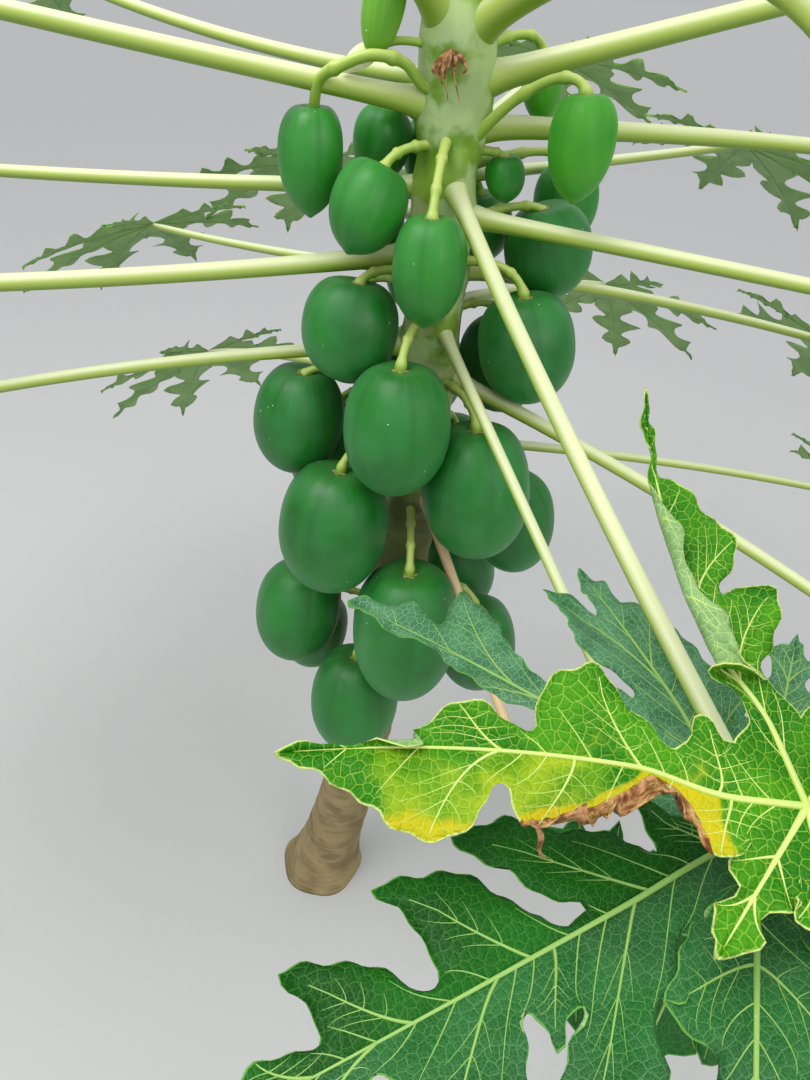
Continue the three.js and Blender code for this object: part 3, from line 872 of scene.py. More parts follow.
# %% Shapes of the two near leaves
MIDDLE, UPPER = 2, 1
TURNING_SHAPE = dict(
    bays=[(-152, 0.14), (-92, 0.15), (-37, 0.15), (31, 0.12), (75, 0.12), (116, 0.12), (160, 0.14)],
    bows={MIDDLE: (-0.046, 0.0), UPPER: (0.055, -0.08)},
    sides={
        (MIDDLE, -1): [(0.155, 0.105), (0.185, 0.14, 0.17), (0.207, 0.13), (0.222, 0.085), (0.24, 0.056),
                       (0.27, 0.077), (0.30, 0.10), (0.345, 0.128), (0.392, 0.178, 0.30), (0.43, 0.170),
                       (0.468, 0.158), (0.498, 0.122), (0.502, 0.075), (0.515, 0.046), (0.552, 0.055),
                       (0.60, 0.080), (0.66, 0.084, 0.567), (0.712, 0.058), (0.742, 0.03), (0.80, 0.03),
                       (0.86, 0.009), (0.93, 0.014)],
        (MIDDLE, 1): [(0.14, 0.105), (0.18, 0.117, 0.14), (0.215, 0.108), (0.235, 0.092), (0.29, 0.078),
                      (0.34, 0.108), (0.40, 0.145), (0.455, 0.172), (0.525, 0.17, 0.43), (0.545, 0.10),
                      (0.567, 0.072), (0.588, 0.078), (0.598, 0.115), (0.645, 0.162), (0.70, 0.177, 0.573),
                      (0.765, 0.152), (0.80, 0.118), (0.86, 0.085), (0.91, 0.048), (0.97, 0.02)],
        (UPPER, -1): [(0.20, 0.045), (0.25, 0.046), (0.30, 0.095), (0.355, 0.142), (0.405, 0.158, 0.25),
                      (0.43, 0.12), (0.43, 0.066), (0.448, 0.066), (0.48, 0.10), (0.535, 0.114, 0.42),
                      (0.60, 0.104), (0.66, 0.068), (0.715, 0.035), (0.75, 0.012), (0.87, 0.009)],
        (UPPER, 1): [(0.165, 0.04), (0.20, 0.026), (0.235, 0.03), (0.26, 0.055), (0.30, 0.095),
                     (0.34, 0.10, 0.24), (0.38, 0.085), (0.42, 0.062), (0.46, 0.075), (0.50, 0.085, 0.40),
                     (0.55, 0.055), (0.60, 0.05), (0.66, 0.065, 0.58), (0.70, 0.045), (0.75, 0.012),
                     (0.87, 0.009)],
        (0, 1): [(0.30, 0.10), (0.42, 0.20, 0.24), (0.46, 0.09), (0.52, 0.07), (0.62, 0.19),
                 (0.70, 0.21, 0.46), (0.74, 0.08), (0.86, 0.09, 0.72), (0.90, 0.03)],
    },
)
DARK_MAIN = 3
DARK_SHAPE = dict(
    bays=[(-165, 0.13), (-125, 0.15), (-85, 0.17), (-33, 0.16), (33, 0.12), (66, 0.14), (107, 0.13),
          (150, 0.12)],
    bows={2: (-0.02, -0.03), 1: (-0.012, 0.0), DARK_MAIN: (0.008, 0.0)},
    sides={
        (DARK_MAIN, -1): [(0.145, 0.12), (0.17, 0.145, 0.10), (0.185, 0.12), (0.19, 0.06), (0.205, 0.045),
                          (0.225, 0.08), (0.25, 0.112), (0.35, 0.168), (0.40, 0.207), (0.45, 0.216),
                          (0.52, 0.216, 0.25), (0.495, 0.16), (0.455, 0.115), (0.43, 0.075), (0.385, 0.045),
                          (0.37, 0.027), (0.425, 0.022), (0.45, 0.06), (0.48, 0.10), (0.53, 0.157),
                          (0.58, 0.178), (0.68, 0.19, 0.49), (0.65, 0.14), (0.635, 0.09), (0.63, 0.05),
                          (0.665, 0.03), (0.69, 0.065), (0.76, 0.115), (0.86, 0.14, 0.70), (0.84, 0.09),
                          (0.83, 0.045), (0.86, 0.035), (0.93, 0.05, 0.86)],
        (DARK_MAIN, 1): [(0.135, 0.06), (0.17, 0.064), (0.21, 0.082), (0.25, 0.094), (0.275, 0.077),
                         (0.288, 0.09), (0.31, 0.135), (0.335, 0.17), (0.36, 0.142), (0.385, 0.16),
                         (0.41, 0.185), (0.45, 0.25), (0.52, 0.27), (0.64, 0.30, 0.283), (0.60, 0.21),
                         (0.53, 0.145), (0.49, 0.125), (0.473, 0.105), (0.495, 0.107), (0.545, 0.137, 0.45),
                         (0.54, 0.10), (0.552, 0.07), (0.57, 0.10), (0.61, 0.155), (0.69, 0.205),
                         (0.80, 0.22, 0.552), (0.77, 0.14), (0.76, 0.07), (0.78, 0.04), (0.83, 0.075),
                         (0.91, 0.10, 0.76), (0.90, 0.04)],
        (2, -1): [(0.30, 0.11), (0.35, 0.12, 0.24), (0.40, 0.06), (0.46, 0.038), (0.53, 0.05), (0.59, 0.085),
                  (0.67, 0.135), (0.775, 0.15, 0.52), (0.765, 0.09), (0.77, 0.062), (0.84, 0.064),
                  (0.92, 0.048)],
        (2, 1): [(0.28, 0.10), (0.34, 0.13, 0.22), (0.38, 0.06), (0.45, 0.03), (0.52, 0.05),
                 (0.57, 0.062, 0.46), (0.63, 0.05), (0.71, 0.022), (0.80, 0.03), (0.90, 0.02)],
        (1, 1): [(0.26, 0.10), (0.36, 0.20, 0.22), (0.42, 0.10), (0.48, 0.10), (0.56, 0.17), (0.66, 0.185),
                 (0.76, 0.165), (0.90, 0.165, 0.45), (0.82, 0.10), (0.76, 0.06), (0.86, 0.045)],
        (1, -1): [(0.26, 0.12), (0.34, 0.155, 0.20), (0.45, 0.15), (0.60, 0.12), (0.73, 0.10, 0.52),
                  (0.80, 0.05), (0.90, 0.035)],
    },
)
print("bays:", len(TURNING_SHAPE["bays"]), "and", len(DARK_SHAPE["bays"]))

# %% [markdown]
# The table repeats the solids': height and direction on the trunk, the stalk's length, its diameter
# and its rise at both ends, then the blade's size and how far its middle lobe points down. `tone`
# picks a finish.

# %% Leaf table
def leaf(z, az, long, thick, rise, blade=0.0, pitch=0, tone="grown", turn=0, main=0, roll=0,
         droop=0.16, lobes=LOBES, shape=None):
    return dict(z=z, az=az, long=long, thick=thick, rise=rise, blade=blade, pitch=pitch, tone=tone,
                turn=turn, main=main, roll=roll, droop=droop, lobes=lobes, shape=shape)


LEAVES = [
    leaf(1.382, 190, 0.760, (0.022, 0.017), (8, 10), 0.300, -18, "young"),
    leaf(1.303, 170, 0.860, (0.017, 0.015), (-5, -1), 0.290, -30),
    leaf(1.232, 195, 0.740, (0.021, 0.018), (-5.5, 0.5), 0.300, -30),
    leaf(1.116, 189, 0.800, (0.016, 0.014), (-2, -15.5), 0.290, -40, "old"),
    leaf(1.206, 137, 0.680, (0.013, 0.011), (-10, -5), 0.280, -28),
    leaf(1.406, 146, 0.740, (0.017, 0.014), (0, 12), 0.290, -20, "young"),
    leaf(1.402, -5, 0.800, (0.025, 0.015), (17, 15), 0.310, -12, "young"),
    leaf(1.365, 6, 0.760, (0.022, 0.013), (2, -6), 0.300, -26),
    leaf(1.314, 54, 0.720, (0.014, 0.014), (-4, 1.4), 0.290, -24, turn=-16),
    leaf(1.276, -20, 0.790, (0.018, 0.014), (-2, -3), 0.300, -30),
    leaf(1.213, 36, 0.780, (0.017, 0.014), (-11.6, -15.6), 0.290, -36, "old", turn=-16),
    leaf(1.088, -24, 0.800, (0.017, 0.014), (-13, -26), 0.280, -45, "old"),
    leaf(0.985, 10, 0.740, (0.013, 0.011), (-5, -14), 0.270, -40, "old"),
    leaf(1.320, -71, 0.735, (0.017, 0.014), (-24, -16), 0.350, -2, "dark", main=-80, droop=0.05,
         shape=DARK_SHAPE,
         lobes=[(-145, 0.62), (-104, 0.82), (-66, 1.03), (0, 1), (44, 0.9), (86, 0.75), (128, 0.55)]),
    leaf(1.158, -66, 0.700, (0.013, 0.011), (-24, -26), 0.270, -45, "old"),
    leaf(1.440, -47, 0.955, (0.026, 0.018), (33, -79), 0.330, 1, "turning", turn=-60, main=-75, roll=-25,
         droop=0.04, shape=TURNING_SHAPE,
         lobes=[(-128, 0.75), (-72, 0.93), (0, 0.9), (55, 0.3), (95, 0.32), (138, 0.45)]),
    leaf(1.345, 75, 0.700, (0.015, 0.012), (2, 6), 0.290, -22, "young"),
    leaf(1.255, 110, 0.740, (0.017, 0.014), (-4, -6), 0.290, -30),
    leaf(1.165, 62, 0.760, (0.016, 0.013), (-8, -16), 0.280, -38, "old"),
    leaf(1.050, 128, 0.740, (0.015, 0.012), (-10, -22), 0.270, -42, "old"),
    leaf(1.432, 100, 0.720, (0.024, 0.018), (16, 20), 0.290, -8, "young"),
    leaf(1.448, 232, 0.680, (0.028, 0.018), (36, 30), 0.280, 2, "young"),
    leaf(1.468, 48, 0.680, (0.026, 0.018), (36, 34), 0.280, 4, "young"),
    leaf(1.484, -92, 0.600, (0.028, 0.018), (56, 48), 0.250, 14, "young"),
]
YOUNG_LEAVES = [
    leaf(1.500, 150, 0.430, (0.020, 0.012), (60, 56), 0.200, 22, "young", lobes=YOUNG_LOBES),
    leaf(1.515, 10, 0.420, (0.020, 0.012), (62, 58), 0.190, 24, "young", lobes=YOUNG_LOBES),
    leaf(1.530, -130, 0.330, (0.016, 0.009), (72, 70), 0.130, 36, "young", lobes=YOUNG_LOBES),
]
DRY_LEAF_STALK = leaf(0.935, -61, 0.430, (0.015, 0.012), (-40, -34))
print("leaves:", len(LEAVES) + len(YOUNG_LEAVES))

# %% [markdown]
# A stalk starts on the trunk's axis and bends evenly, in small straight steps. Its foot is half as
# thick again as the rest, with a short collar against the trunk. It narrows a little where it meets
# the blade.

# %% Leaf stalks
STALK_STEPS = 60
STALK_FOOT = 0.09
STALK_FLARE = 0.5
STALK_NECK, STALK_NECK_FROM = 0.3, 0.93
STALK_COLLAR = 0.32
STALK_COLLAR_REACH = 0.016
STALK_SIDES = 24


def stalk_route(row):
    """Points of the stalk, its direction at the end, and the parts of the way from 0 to 1."""
    at = trunk_axis(row["z"])
    route = [at.copy()]
    for step in range(STALK_STEPS):
        part = step / STALK_STEPS
        rise = row["rise"][0] + (row["rise"][1] - row["rise"][0]) * part
        at = at + heading(row["az"] + row["turn"] * part, rise) * row["long"] / STALK_STEPS
        route.append(at.copy())
    return np.array(route), row["az"] + row["turn"], np.linspace(0, 1, STALK_STEPS + 1)


def stalk_radii(row, part):
    plain = row["thick"][0] + (row["thick"][1] - row["thick"][0]) * part
    foot = row["thick"][0] * STALK_FLARE * np.exp(-part / STALK_FOOT)
    neck = 1 - STALK_NECK * smooth(part, STALK_NECK_FROM, 1.0)
    out = np.maximum(part * row["long"] - trunk_radius(row["z"]), 0)
    collar = STALK_COLLAR * np.exp(-(out / STALK_COLLAR_REACH) ** 1.4)
    return (plain + foot) / 2 * neck * (1 + collar)


def stalk_mesh(row, name, material):
    route, _, part = stalk_route(row)
    return stems(name, [(route, stalk_radii(row, part))], STALK_SIDES, material)


print("longest stalk:", max(row["long"] for row in LEAVES), "m")

# %% [markdown]
# ## Leaf blades
# One half of a lobe is a grid. Its rows start on the main rib and end on the outline, so a side rib
# is simply the row that ends on its tip. Bays lie half way between the lobes, unless a leaf has its
# own.

# %% Bays and keys
BAY_DEPTH = 0.28
LAST_BAY_BEYOND = 22
LAST_BAY_SHARE = 0.6
SMALL_LOBE = 0.15


def bay_places(row):
    """Direction and depth of every bay, as an angle and a share of the blade's size."""
    if row["shape"]:
        return row["shape"]["bays"]
    angles = [angle for angle, _ in row["lobes"]]
    between = [((a + b) / 2, BAY_DEPTH) for a, b in zip(angles[:-1], angles[1:])]
    last = BAY_DEPTH * LAST_BAY_SHARE
    return [(angles[0] - LAST_BAY_BEYOND, last)] + between + [(angles[-1] + LAST_BAY_BEYOND, last)]


def side_keys(row, index, side):
    own = row["shape"]["sides"].get((index, side)) if row["shape"] else None
    if own:
        return own
    return PLAIN_SIDE if row["lobes"][index][1] * row["blade"] > SMALL_LOBE else SMALL_SIDE


print("bays of a plain leaf:", len(bay_places(LEAVES[0])))

# %% [markdown]
# The outline is a smooth curve through the keys. It has a corner at each tip, which it leaves and
# reaches bulging a little.

# %% Outline of half a lobe
TIP_BULGE = math.radians(20)


def turned(way, angle):
    c, s = math.cos(angle), math.sin(angle)
    return np.array((c * way[0] - s * way[1], s * way[0] + c * way[1]))


def between_keys(start, end, leave, arrive, count):
    """Points from start to just before end, which leave and arrive in the given directions."""
    t = np.linspace(0, 1, count, endpoint=False)[:, None]
    return ((2 * t ** 3 - 3 * t * t + 1) * start + (t ** 3 - 2 * t * t + t) * leave
            + (3 * t * t - 2 * t ** 3) * end + (t ** 3 - t * t) * arrive)


def lobe_outline(keys, step):
    """The outline's points, their feet on the main rib, nearness to a side rib, and the tips' rows."""
    spots = [np.array(key[:2]) for key in keys]
    corner = [len(key) == 3 for key in keys]
    corner[0] = corner[-1] = True
    points, starts = [], [0]
    for i, (start, end) in enumerate(zip(spots[:-1], spots[1:])):
        way = end - start
        size = np.linalg.norm(way)
        leave = turned(way, TIP_BULGE) if corner[i] else spots[i + 1] - spots[i - 1]
        arrive = turned(way, -TIP_BULGE) if corner[i + 1] else spots[i + 2] - spots[i]
        leave, arrive = (size * v / np.linalg.norm(v) for v in (leave, arrive))
        count = max(2, round(size / step))
        points.append(between_keys(start, end, leave, arrive, count))
        starts.append(starts[-1] + count)
    points = np.vstack(points + [spots[-1]])
    place = np.arange(len(points))
    tips = [at for at, key in zip(starts, keys) if len(key) == 3]
    stops = [0] + tips + [place[-1]]
    feet = np.interp(place, stops, [0] + [key[2] for key in keys if len(key) == 3] + [1])
    middles = [(a + b) / 2 for a, b in zip(stops[:-1], stops[1:])]
    knots = sorted([(at, 1) for at in tips] + [(at, 0) for at in middles])
    nearness = np.interp(place, [at for at, _ in knots], [value for _, value in knots])
    return points, feet, nearness, tips


trial = lobe_outline([(0.2, 0.1)] + PLAIN_SIDE + [(1.0, 0.0)], 0.02)
print("points on half an outline:", len(trial[0]), "side ribs at rows", trial[3])

# %% [markdown]
# Three helpers work on the flat grid. The margin of the near leaves gets small steps in and out.
# Straight rows would cross in the deep bays, so a grid is relaxed: each inner point moves towards a
# mean of its neighbours, and the rows bend as real side ribs do. A curl turns the outer part of a
# row out of the leaf's plane, step by step.

# %% Ripples, even rows and curls
RELAX_ROUNDS = 150
RELAX_STEP = 0.8
RIPPLE = 0.0013
RIPPLE_LENGTH = 0.022


def curled(flat, angles):
    """Turns the rows' steps across out of the plane by the angles; gives the new grid and its lift."""
    steps = np.diff(flat, axis=1)
    turn = angles[:, 1:]
    level = steps * np.cos(turn)[..., None]
    raised = np.linalg.norm(steps, axis=-1) * np.sin(turn)
    rolled = np.concatenate([flat[:, :1], flat[:, :1] + np.cumsum(level, axis=1)], axis=1)
    return rolled, np.concatenate([np.zeros((len(flat), 1)), np.cumsum(raised, axis=1)], axis=1)


def rippled(outline, long):
    """The margin with small steps in and out, none where the lobe starts and ends."""
    way = np.gradient(outline, axis=0)
    way /= np.linalg.norm(way, axis=1, keepdims=True)
    arc = long * np.concatenate([[0], np.cumsum(np.linalg.norm(np.diff(outline, axis=0), axis=1))])
    beat = arc * math.tau / RIPPLE_LENGTH
    ends = smooth(arc, 0.01, 0.03) * smooth(arc[-1] - arc, 0.004, 0.02)
    size = RIPPLE / long * ends * (np.sin(beat) + 0.7 * np.sin(0.43 * beat + 1))
    return outline + np.stack([-way[:, 1], way[:, 0]], -1) * size[:, None]


def relaxed(grid):
    """Moves a grid's inner points until no two rows cross, as an elliptic grid; its border stays."""
    grid = grid.copy()
    for _ in range(RELAX_ROUNDS):
        down = (grid[2:, 1:-1] - grid[:-2, 1:-1]) / 2
        over = (grid[1:-1, 2:] - grid[1:-1, :-2]) / 2
        twist = (grid[2:, 2:] - grid[2:, :-2] - grid[:-2, 2:] + grid[:-2, :-2]) / 4
        a = (over ** 2).sum(-1, keepdims=True)
        b = (down * over).sum(-1, keepdims=True)
        c = (down ** 2).sum(-1, keepdims=True)
        near = a * (grid[2:, 1:-1] + grid[:-2, 1:-1]) + c * (grid[1:-1, 2:] + grid[1:-1, :-2]) - 2 * b * twist
        grid[1:-1, 1:-1] += RELAX_STEP * (near / (2 * (a + c) + 1e-12) - grid[1:-1, 1:-1])
    return grid


uneven = np.stack(np.meshgrid([0.0, 0.5, 1.0], [0.0, 0.9, 1.0], indexing='ij'), -1)
uneven[0::2, 1, 1] = 0.5
print("a middle point before and after:", uneven[1, 1], relaxed(uneven)[1, 1].round(3))

# %% [markdown]
# The blade is folded up a little on both sides of every main rib and droops towards its tips, as the
# solid's does. Between side ribs it swells into cushions, and its edge is wavy. Next to a bay, the
# fold is shared with the neighbouring lobe, so the two meet without a step.

# %% Half a lobe in the leaf's frame
BLADE_FOLD = 0.22
EDGE_WAVE = 0.012
CUSHION = 0.007


def margin_distance(flat, long):
    """How far each point of a grid is from its row's end, in metres."""
    steps = np.linalg.norm(np.diff(flat, axis=1), axis=-1)
    inward = np.cumsum(steps[:, ::-1], axis=1)[:, ::-1]
    return long * np.concatenate([inward, np.zeros((len(flat), 1))], axis=1)


def half_lobe(row, index, side, step, columns, curl=None):
    """Points of half a lobe in the leaf's frame (rows by columns), with the values they carry."""
    size = row["blade"]
    angle, share = row["lobes"][index]
    long = share * size
    bay_angle, bay_depth = bay_places(row)[index if side < 0 else index + 1]
    gap, deep = math.radians(abs(bay_angle - angle)), bay_depth / share
    bay = (deep * math.cos(gap), deep * math.sin(gap))
    keys = [key for key in side_keys(row, index, side) if key[0] > bay[0] or row["shape"]]
    outline, feet, nearness, tips = lobe_outline([bay] + keys + [(1.0, 0.0)], step / long)
    if row["shape"]:
        outline = rippled(outline, long)

    part = np.linspace(0, 1, columns)[None, :]
    foot = np.stack([feet, np.zeros_like(feet)], -1)
    flat = relaxed(foot[:, None] + (outline - foot)[:, None] * part[..., None])
    carried = dict(along=flat[..., 0], across=flat[..., 1], margin=margin_distance(flat, long),
                   tips=tips, feet=feet)
    lift = np.zeros(flat.shape[:2])
    if curl is not None:
        flat, lift = curled(flat, curl(flat[..., 0], flat[..., 1]))
    along, across = flat[..., 0], flat[..., 1]
    sway, swing = row["shape"]["bows"].get(index, (0, 0)) if row["shape"] else (0, 0)
    off = (sway * 4 * along * (1 - along) + swing * along ** 2) * smooth(along, bay[0], bay[0] + 0.2)
    aside = side * across + off
    turn = math.radians(angle)
    x = long * (along * math.cos(turn) - aside * math.sin(turn))
    y = long * (along * math.sin(turn) + aside * math.cos(turn))

    fold = BLADE_FOLD * across
    beside = index + side
    if 0 <= beside < len(row["lobes"]):
        half = math.radians(abs(row["lobes"][beside][0] - angle)) / 2
        shared = BLADE_FOLD * deep * part[0] * math.sin(half)
        near_bay = 1 - smooth(np.arange(len(feet)) / len(feet), 0, 0.25)
        fold = fold + (shared - fold[0]) * near_bay[:, None]
    calm = smooth(feet, 0.03, 0.2)[:, None]
    wave = np.sin(feet * 31 + index * 2.1 + side * 0.8)[:, None] * part ** 2 * EDGE_WAVE
    cushion = (1 - nearness)[:, None] * np.sin(math.pi * part) * CUSHION
    z = long * (fold + lift) - row["droop"] * (x * x + y * y) / size + size * calm * (wave + cushion)
    return np.stack([x, y, z], -1), carried


trial, _ = half_lobe(LEAVES[0], 3, 1, 0.011, 7)
print("half a middle lobe:", trial.shape[0], "rows,", round(float(trial[-1, -1, 0]), 3), "m long")

# %% [markdown]
# A blade starts as a sheet. A Solidify modifier gives it a thin wall, whose lower face takes the
# paler finish of the underside.

# %% A sheet's wall
BLADE_WALL = 0.0009


def solid_blade(mesh, underside):
    """Merges the half lobes' shared points and gives the sheet its wall."""
    work = bmesh.new()
    work.from_mesh(mesh)
    bmesh.ops.remove_doubles(work, verts=work.verts, dist=1e-5)
    work.to_mesh(mesh)
    work.free()
    mesh.materials.append(underside)
    thing = as_object(mesh)
    wall = thing.modifiers.new("wall", 'SOLIDIFY')
    wall.thickness = BLADE_WALL
    wall.offset = 0
    wall.material_offset = 1
    depsgraph = bpy.context.evaluated_depsgraph_get()
    result = bpy.data.meshes.new_from_object(thing.evaluated_get(depsgraph), depsgraph=depsgraph)
    bpy.data.objects.remove(thing)
    return result


print("blade wall:", BLADE_WALL, "m")

# %% [markdown]
# A whole blade joins its half lobes along ribs and bays, and closes the heel behind the hub with two
# fans. Its points carry `flat` and `margin`, and the near leaves add values of their own. Each such
# value comes from a rule that is told which half lobe it works on.

# %% Whole blade
NEAR_STEP, NEAR_COLUMNS = 0.0042, 15
PLAIN_STEP, PLAIN_COLUMNS = 0.011, 7
HEEL = 0.06


def blade_parts(row, curls):
    """Every half lobe of a blade, as (points, values), keyed by lobe and side."""
    step, columns = (NEAR_STEP, NEAR_COLUMNS) if row["shape"] else (PLAIN_STEP, PLAIN_COLUMNS)
    keys = [(index, side) for index in range(len(row["lobes"])) for side in (-1, 1)]
    return {key: half_lobe(row, *key, step, columns, curls.get(key)) for key in keys}


def blade_mesh(row, name, parts, extras):
    rules = {"margin": lambda key, data: data["margin"], **extras}
    points, faces, values, start = [], [], {label: [] for label in rules}, 0
    heel = sum(grid.shape[0] * grid.shape[1] for grid, _ in parts.values())
    first, last = (0, -1), (len(row["lobes"]) - 1, 1)
    for key, (grid, data) in parts.items():
        rows, columns = grid.shape[:2]
        quads = grid_faces(rows, columns) + start
        faces += (quads[:, ::-1] if key[1] > 0 else quads).tolist()
        edge = range(start, start + columns - 1)
        if key == first:
            faces += [(at, heel, at + 1) for at in edge]
        if key == last:
            faces += [(at, at + 1, heel) for at in edge]
        points.append(grid.reshape(-1, 3))
        for label, rule in rules.items():
            values[label].append(rule(key, data).reshape(-1))
        start += rows * columns
    points = np.vstack(points + [(-HEEL * row["blade"], 0, 0)])
    values = {label: np.concatenate(data + [[0]]) for label, data in values.items()}
    mesh = plain_mesh(name, points, faces, BLADES[row["tone"]], flat=points * (1, 1, 0), **values)
    return solid_blade(mesh, UNDERSIDE)


print("half lobes of a plain blade:", len(blade_parts(LEAVES[0], {})))

# %% [markdown]
# The near leaves have weak ribs between the side ribs, and branches on the side ribs. Like all ribs
# they are given as a radius at both ends, and follow the grid, so they lie on the blade however it
# is folded or curled.

# %% Weak ribs and branches
SIDE_RIB_POINTS = 11
WEAK_RIB_PLACES = (0.36, 0.68)
BRANCH, BRANCH_POINTS = (0.0003, 0.0001), 7
BRANCHES = ((0.25, 0.55, 6), (0.48, 0.78, 6), (0.68, 0.92, 4))


def at_grid(grid, row, column):
    """A point between grid points, by row and column as fractions of an index."""
    r, c = min(row, grid.shape[0] - 1.001), min(column, grid.shape[1] - 1.001)
    i, j = int(r), int(c)
    u, v = r - i, c - j
    low = grid[i, j] * (1 - v) + grid[i, j + 1] * v
    high = grid[i + 1, j] * (1 - v) + grid[i + 1, j + 1] * v
    return low * (1 - u) + high * u


def rib_along(grid, at, reach, thickness, scale):
    way = np.linspace(0, reach, SIDE_RIB_POINTS) * (grid.shape[1] - 1)
    return np.array([at_grid(grid, at, c) for c in way]), scale * np.linspace(*thickness, SIDE_RIB_POINTS)


def weak_rows(tips, rows):
    """Two rows between each pair of neighbouring side ribs."""
    stops = [0] + list(tips) + [rows - 1]
    return [a + (b - a) * part for a, b in zip(stops[:-1], stops[1:]) for part in WEAK_RIB_PLACES]


def branch_lines(grid, tip, scale):
    """Branches on both sides of a side rib, from one share of its length to another."""
    lines = []
    for start, reach, away in BRANCHES:
        for side in (-1, 1):
            way = np.linspace(0, 1, BRANCH_POINTS)
            rows = np.clip(tip + side * away * way, 0, grid.shape[0] - 1.01)
            columns = (start + (reach - start) * way ** 1.3) * (grid.shape[1] - 1)
            route = [at_grid(grid, r, c) for r, c in zip(rows, columns)]
            lines.append((np.array(route), np.linspace(*BRANCH, BRANCH_POINTS) * scale))
    return lines


print("branches on one side rib:", 2 * len(BRANCHES))

# %% [markdown]
# Main ribs run down the first column of each lobe's grid, and side ribs along the rows that end on a
# tip. All are slim stems that stand out a little more above the sheet than below it.

# %% All ribs of a blade
MAIN_RIB, MAIN_RIB_POINTS = (0.0024, 0.0005), 40
SIDE_RIB, SIDE_RIB_REACH = (0.0010, 0.0003), 0.95
WEAK_RIB, WEAK_RIB_REACH = (0.0005, 0.00015), 0.8
BRANCHED_FROM = 0.5
RIBS_FOR_BLADE = 0.3
RIB_SIDES = 6
RIB_LIFT = 0.0004


def rib_lines(row, parts):
    scale = row["blade"] / RIBS_FOR_BLADE
    lines = []
    for (index, side), (grid, data) in parts.items():
        feet = data["feet"]
        near = row["shape"] and row["lobes"][index][1] > BRANCHED_FROM
        if side > 0:
            even = np.interp(np.linspace(0, 1, MAIN_RIB_POINTS), feet, np.arange(len(feet)))
            route = np.array([at_grid(grid, at, 0) for at in even])
            lines.append((route, scale * np.linspace(*MAIN_RIB, MAIN_RIB_POINTS)))
        for tip in data["tips"]:
            lines.append(rib_along(grid, tip, SIDE_RIB_REACH, SIDE_RIB, scale))
            if near:
                lines += branch_lines(grid, tip, scale)
        if near:
            rows = weak_rows(data["tips"], len(feet))
            lines += [rib_along(grid, at, WEAK_RIB_REACH, WEAK_RIB, scale) for at in rows]
    return lines


print("ribs of a plain blade:", len(rib_lines(LEAVES[0], blade_parts(LEAVES[0], {}))))

# %% [markdown]
# The blade's frame stands at the stalk's end: forward along the middle lobe, left, and out of the
# upper face, then rolled about the forward line. Blade, ribs and stalk together are one piece, and
# most leaves are made here. The two nearest to the camera follow.

# %% Placing a blade
STALK_INTO_BLADE = 0.012


def blade_matrix(row):
    route, azimuth, _ = stalk_route(row)
    forward = heading(azimuth + row["main"], row["pitch"])
    left = np.cross(UP, forward)
    left = left / np.linalg.norm(left)
    out = np.cross(forward, left)
    hub = route[-1] + forward * (HEEL * row["blade"] - STALK_INTO_BLADE)
    matrix = Matrix(np.column_stack([forward, left, out]).tolist()).to_4x4()
    return Matrix.Translation(Vector(hub)) @ matrix @ Matrix.Rotation(math.radians(row["roll"]), 4, 'X')


def leaf_meshes(row, name, curls=None, extras=None):
    parts = blade_parts(row, curls or {})
    blade = blade_mesh(row, name + "_blade", parts, extras or {})
    rib = RIB_TURNING if row["tone"] == "turning" else RIB
    ribs = stems(name + "_ribs", rib_lines(row, parts), RIB_SIDES, rib)
    ribs.transform(Matrix.Translation((0, 0, RIB_LIFT)))
    for mesh in (blade, ribs):
        mesh.transform(blade_matrix(row))
    return [blade, ribs, stalk_mesh(row, name + "_stalk", STALK)]


def leaf_piece(row, number, added=(), **more):
    node = f"leaf_{number:02d}"
    meshes = leaf_meshes(row, node, **more) + list(added)
    return add_piece(node + "_grown", joined(node + "_grown", meshes), "leaf", node)


TURNING_LEAF, DARK_LEAF = 16, 14
for number, row in enumerate(LEAVES, 1):
    if number not in (TURNING_LEAF, DARK_LEAF):
        leaf_piece(row, number)
print("leaf pieces:", len(PIECES), "faces:", sum(len(piece.data.polygons) for piece in PIECES))

# %% [markdown]
# ## The two near leaves
# The dark leaf reflects the sky bluish where it tilts towards it: most on its back lobes, and a
# little on one half of its main lobe and beyond. The reflection is painted into its colour; a value
# `sky_reflection` on its points tells the finish where.

# %% Dark leaf
REFLECTION_BACK, REFLECTION_FRONT = 0.75, 0.22


# How strongly each half lobe gets the painted sky reflection.
def sky_reflection_rule(key, data):
    share = REFLECTION_BACK if key[0] < DARK_MAIN else REFLECTION_FRONT if key != (DARK_MAIN, -1) else 0.0
    return np.full_like(data["along"], share)


leaf_piece(LEAVES[DARK_LEAF - 1], DARK_LEAF, extras={"sky_reflection": sky_reflection_rule})
print("dark leaf:", len(PIECES[-1].data.polygons), "faces")

# %% [markdown]
# The turning leaf's middle lobe is yellow on its lower half. A band along the edge there has died:
# it is brown, shrunk and rolled up. The lobe behind has a side that folds over and shows its pale
# underside. Both start at a line across the lobe, and the curl grows with the distance beyond it.

# %% Curls
DEAD_FROM, DEAD_TO = 0.19, 0.56
DEAD_LINE = [(0.19, 0.10), (0.216, 0.045), (0.243, 0.02), (0.288, 0.008), (0.339, 0.052), (0.398, 0.09),
             (0.456, 0.116), (0.511, 0.131), (0.56, 0.14)]
FOLD_LINE = 0.022


def beyond_dead_line(along, across):
    """Distance past the living part, as a share of the lobe's length, and below 0 inside it."""
    line = np.interp(along, *zip(*DEAD_LINE))
    return np.minimum(across - line, np.minimum(along - DEAD_FROM, DEAD_TO - along))


def dead_curl(along, across):
    past = beyond_dead_line(along, across)
    crinkle = 0.8 * np.sin(along * 110 + 3 * np.sin(along * 47)) * smooth(past, 0.0, 0.02)
    return smooth(past, 0.004, 0.05) * 1.5 + crinkle


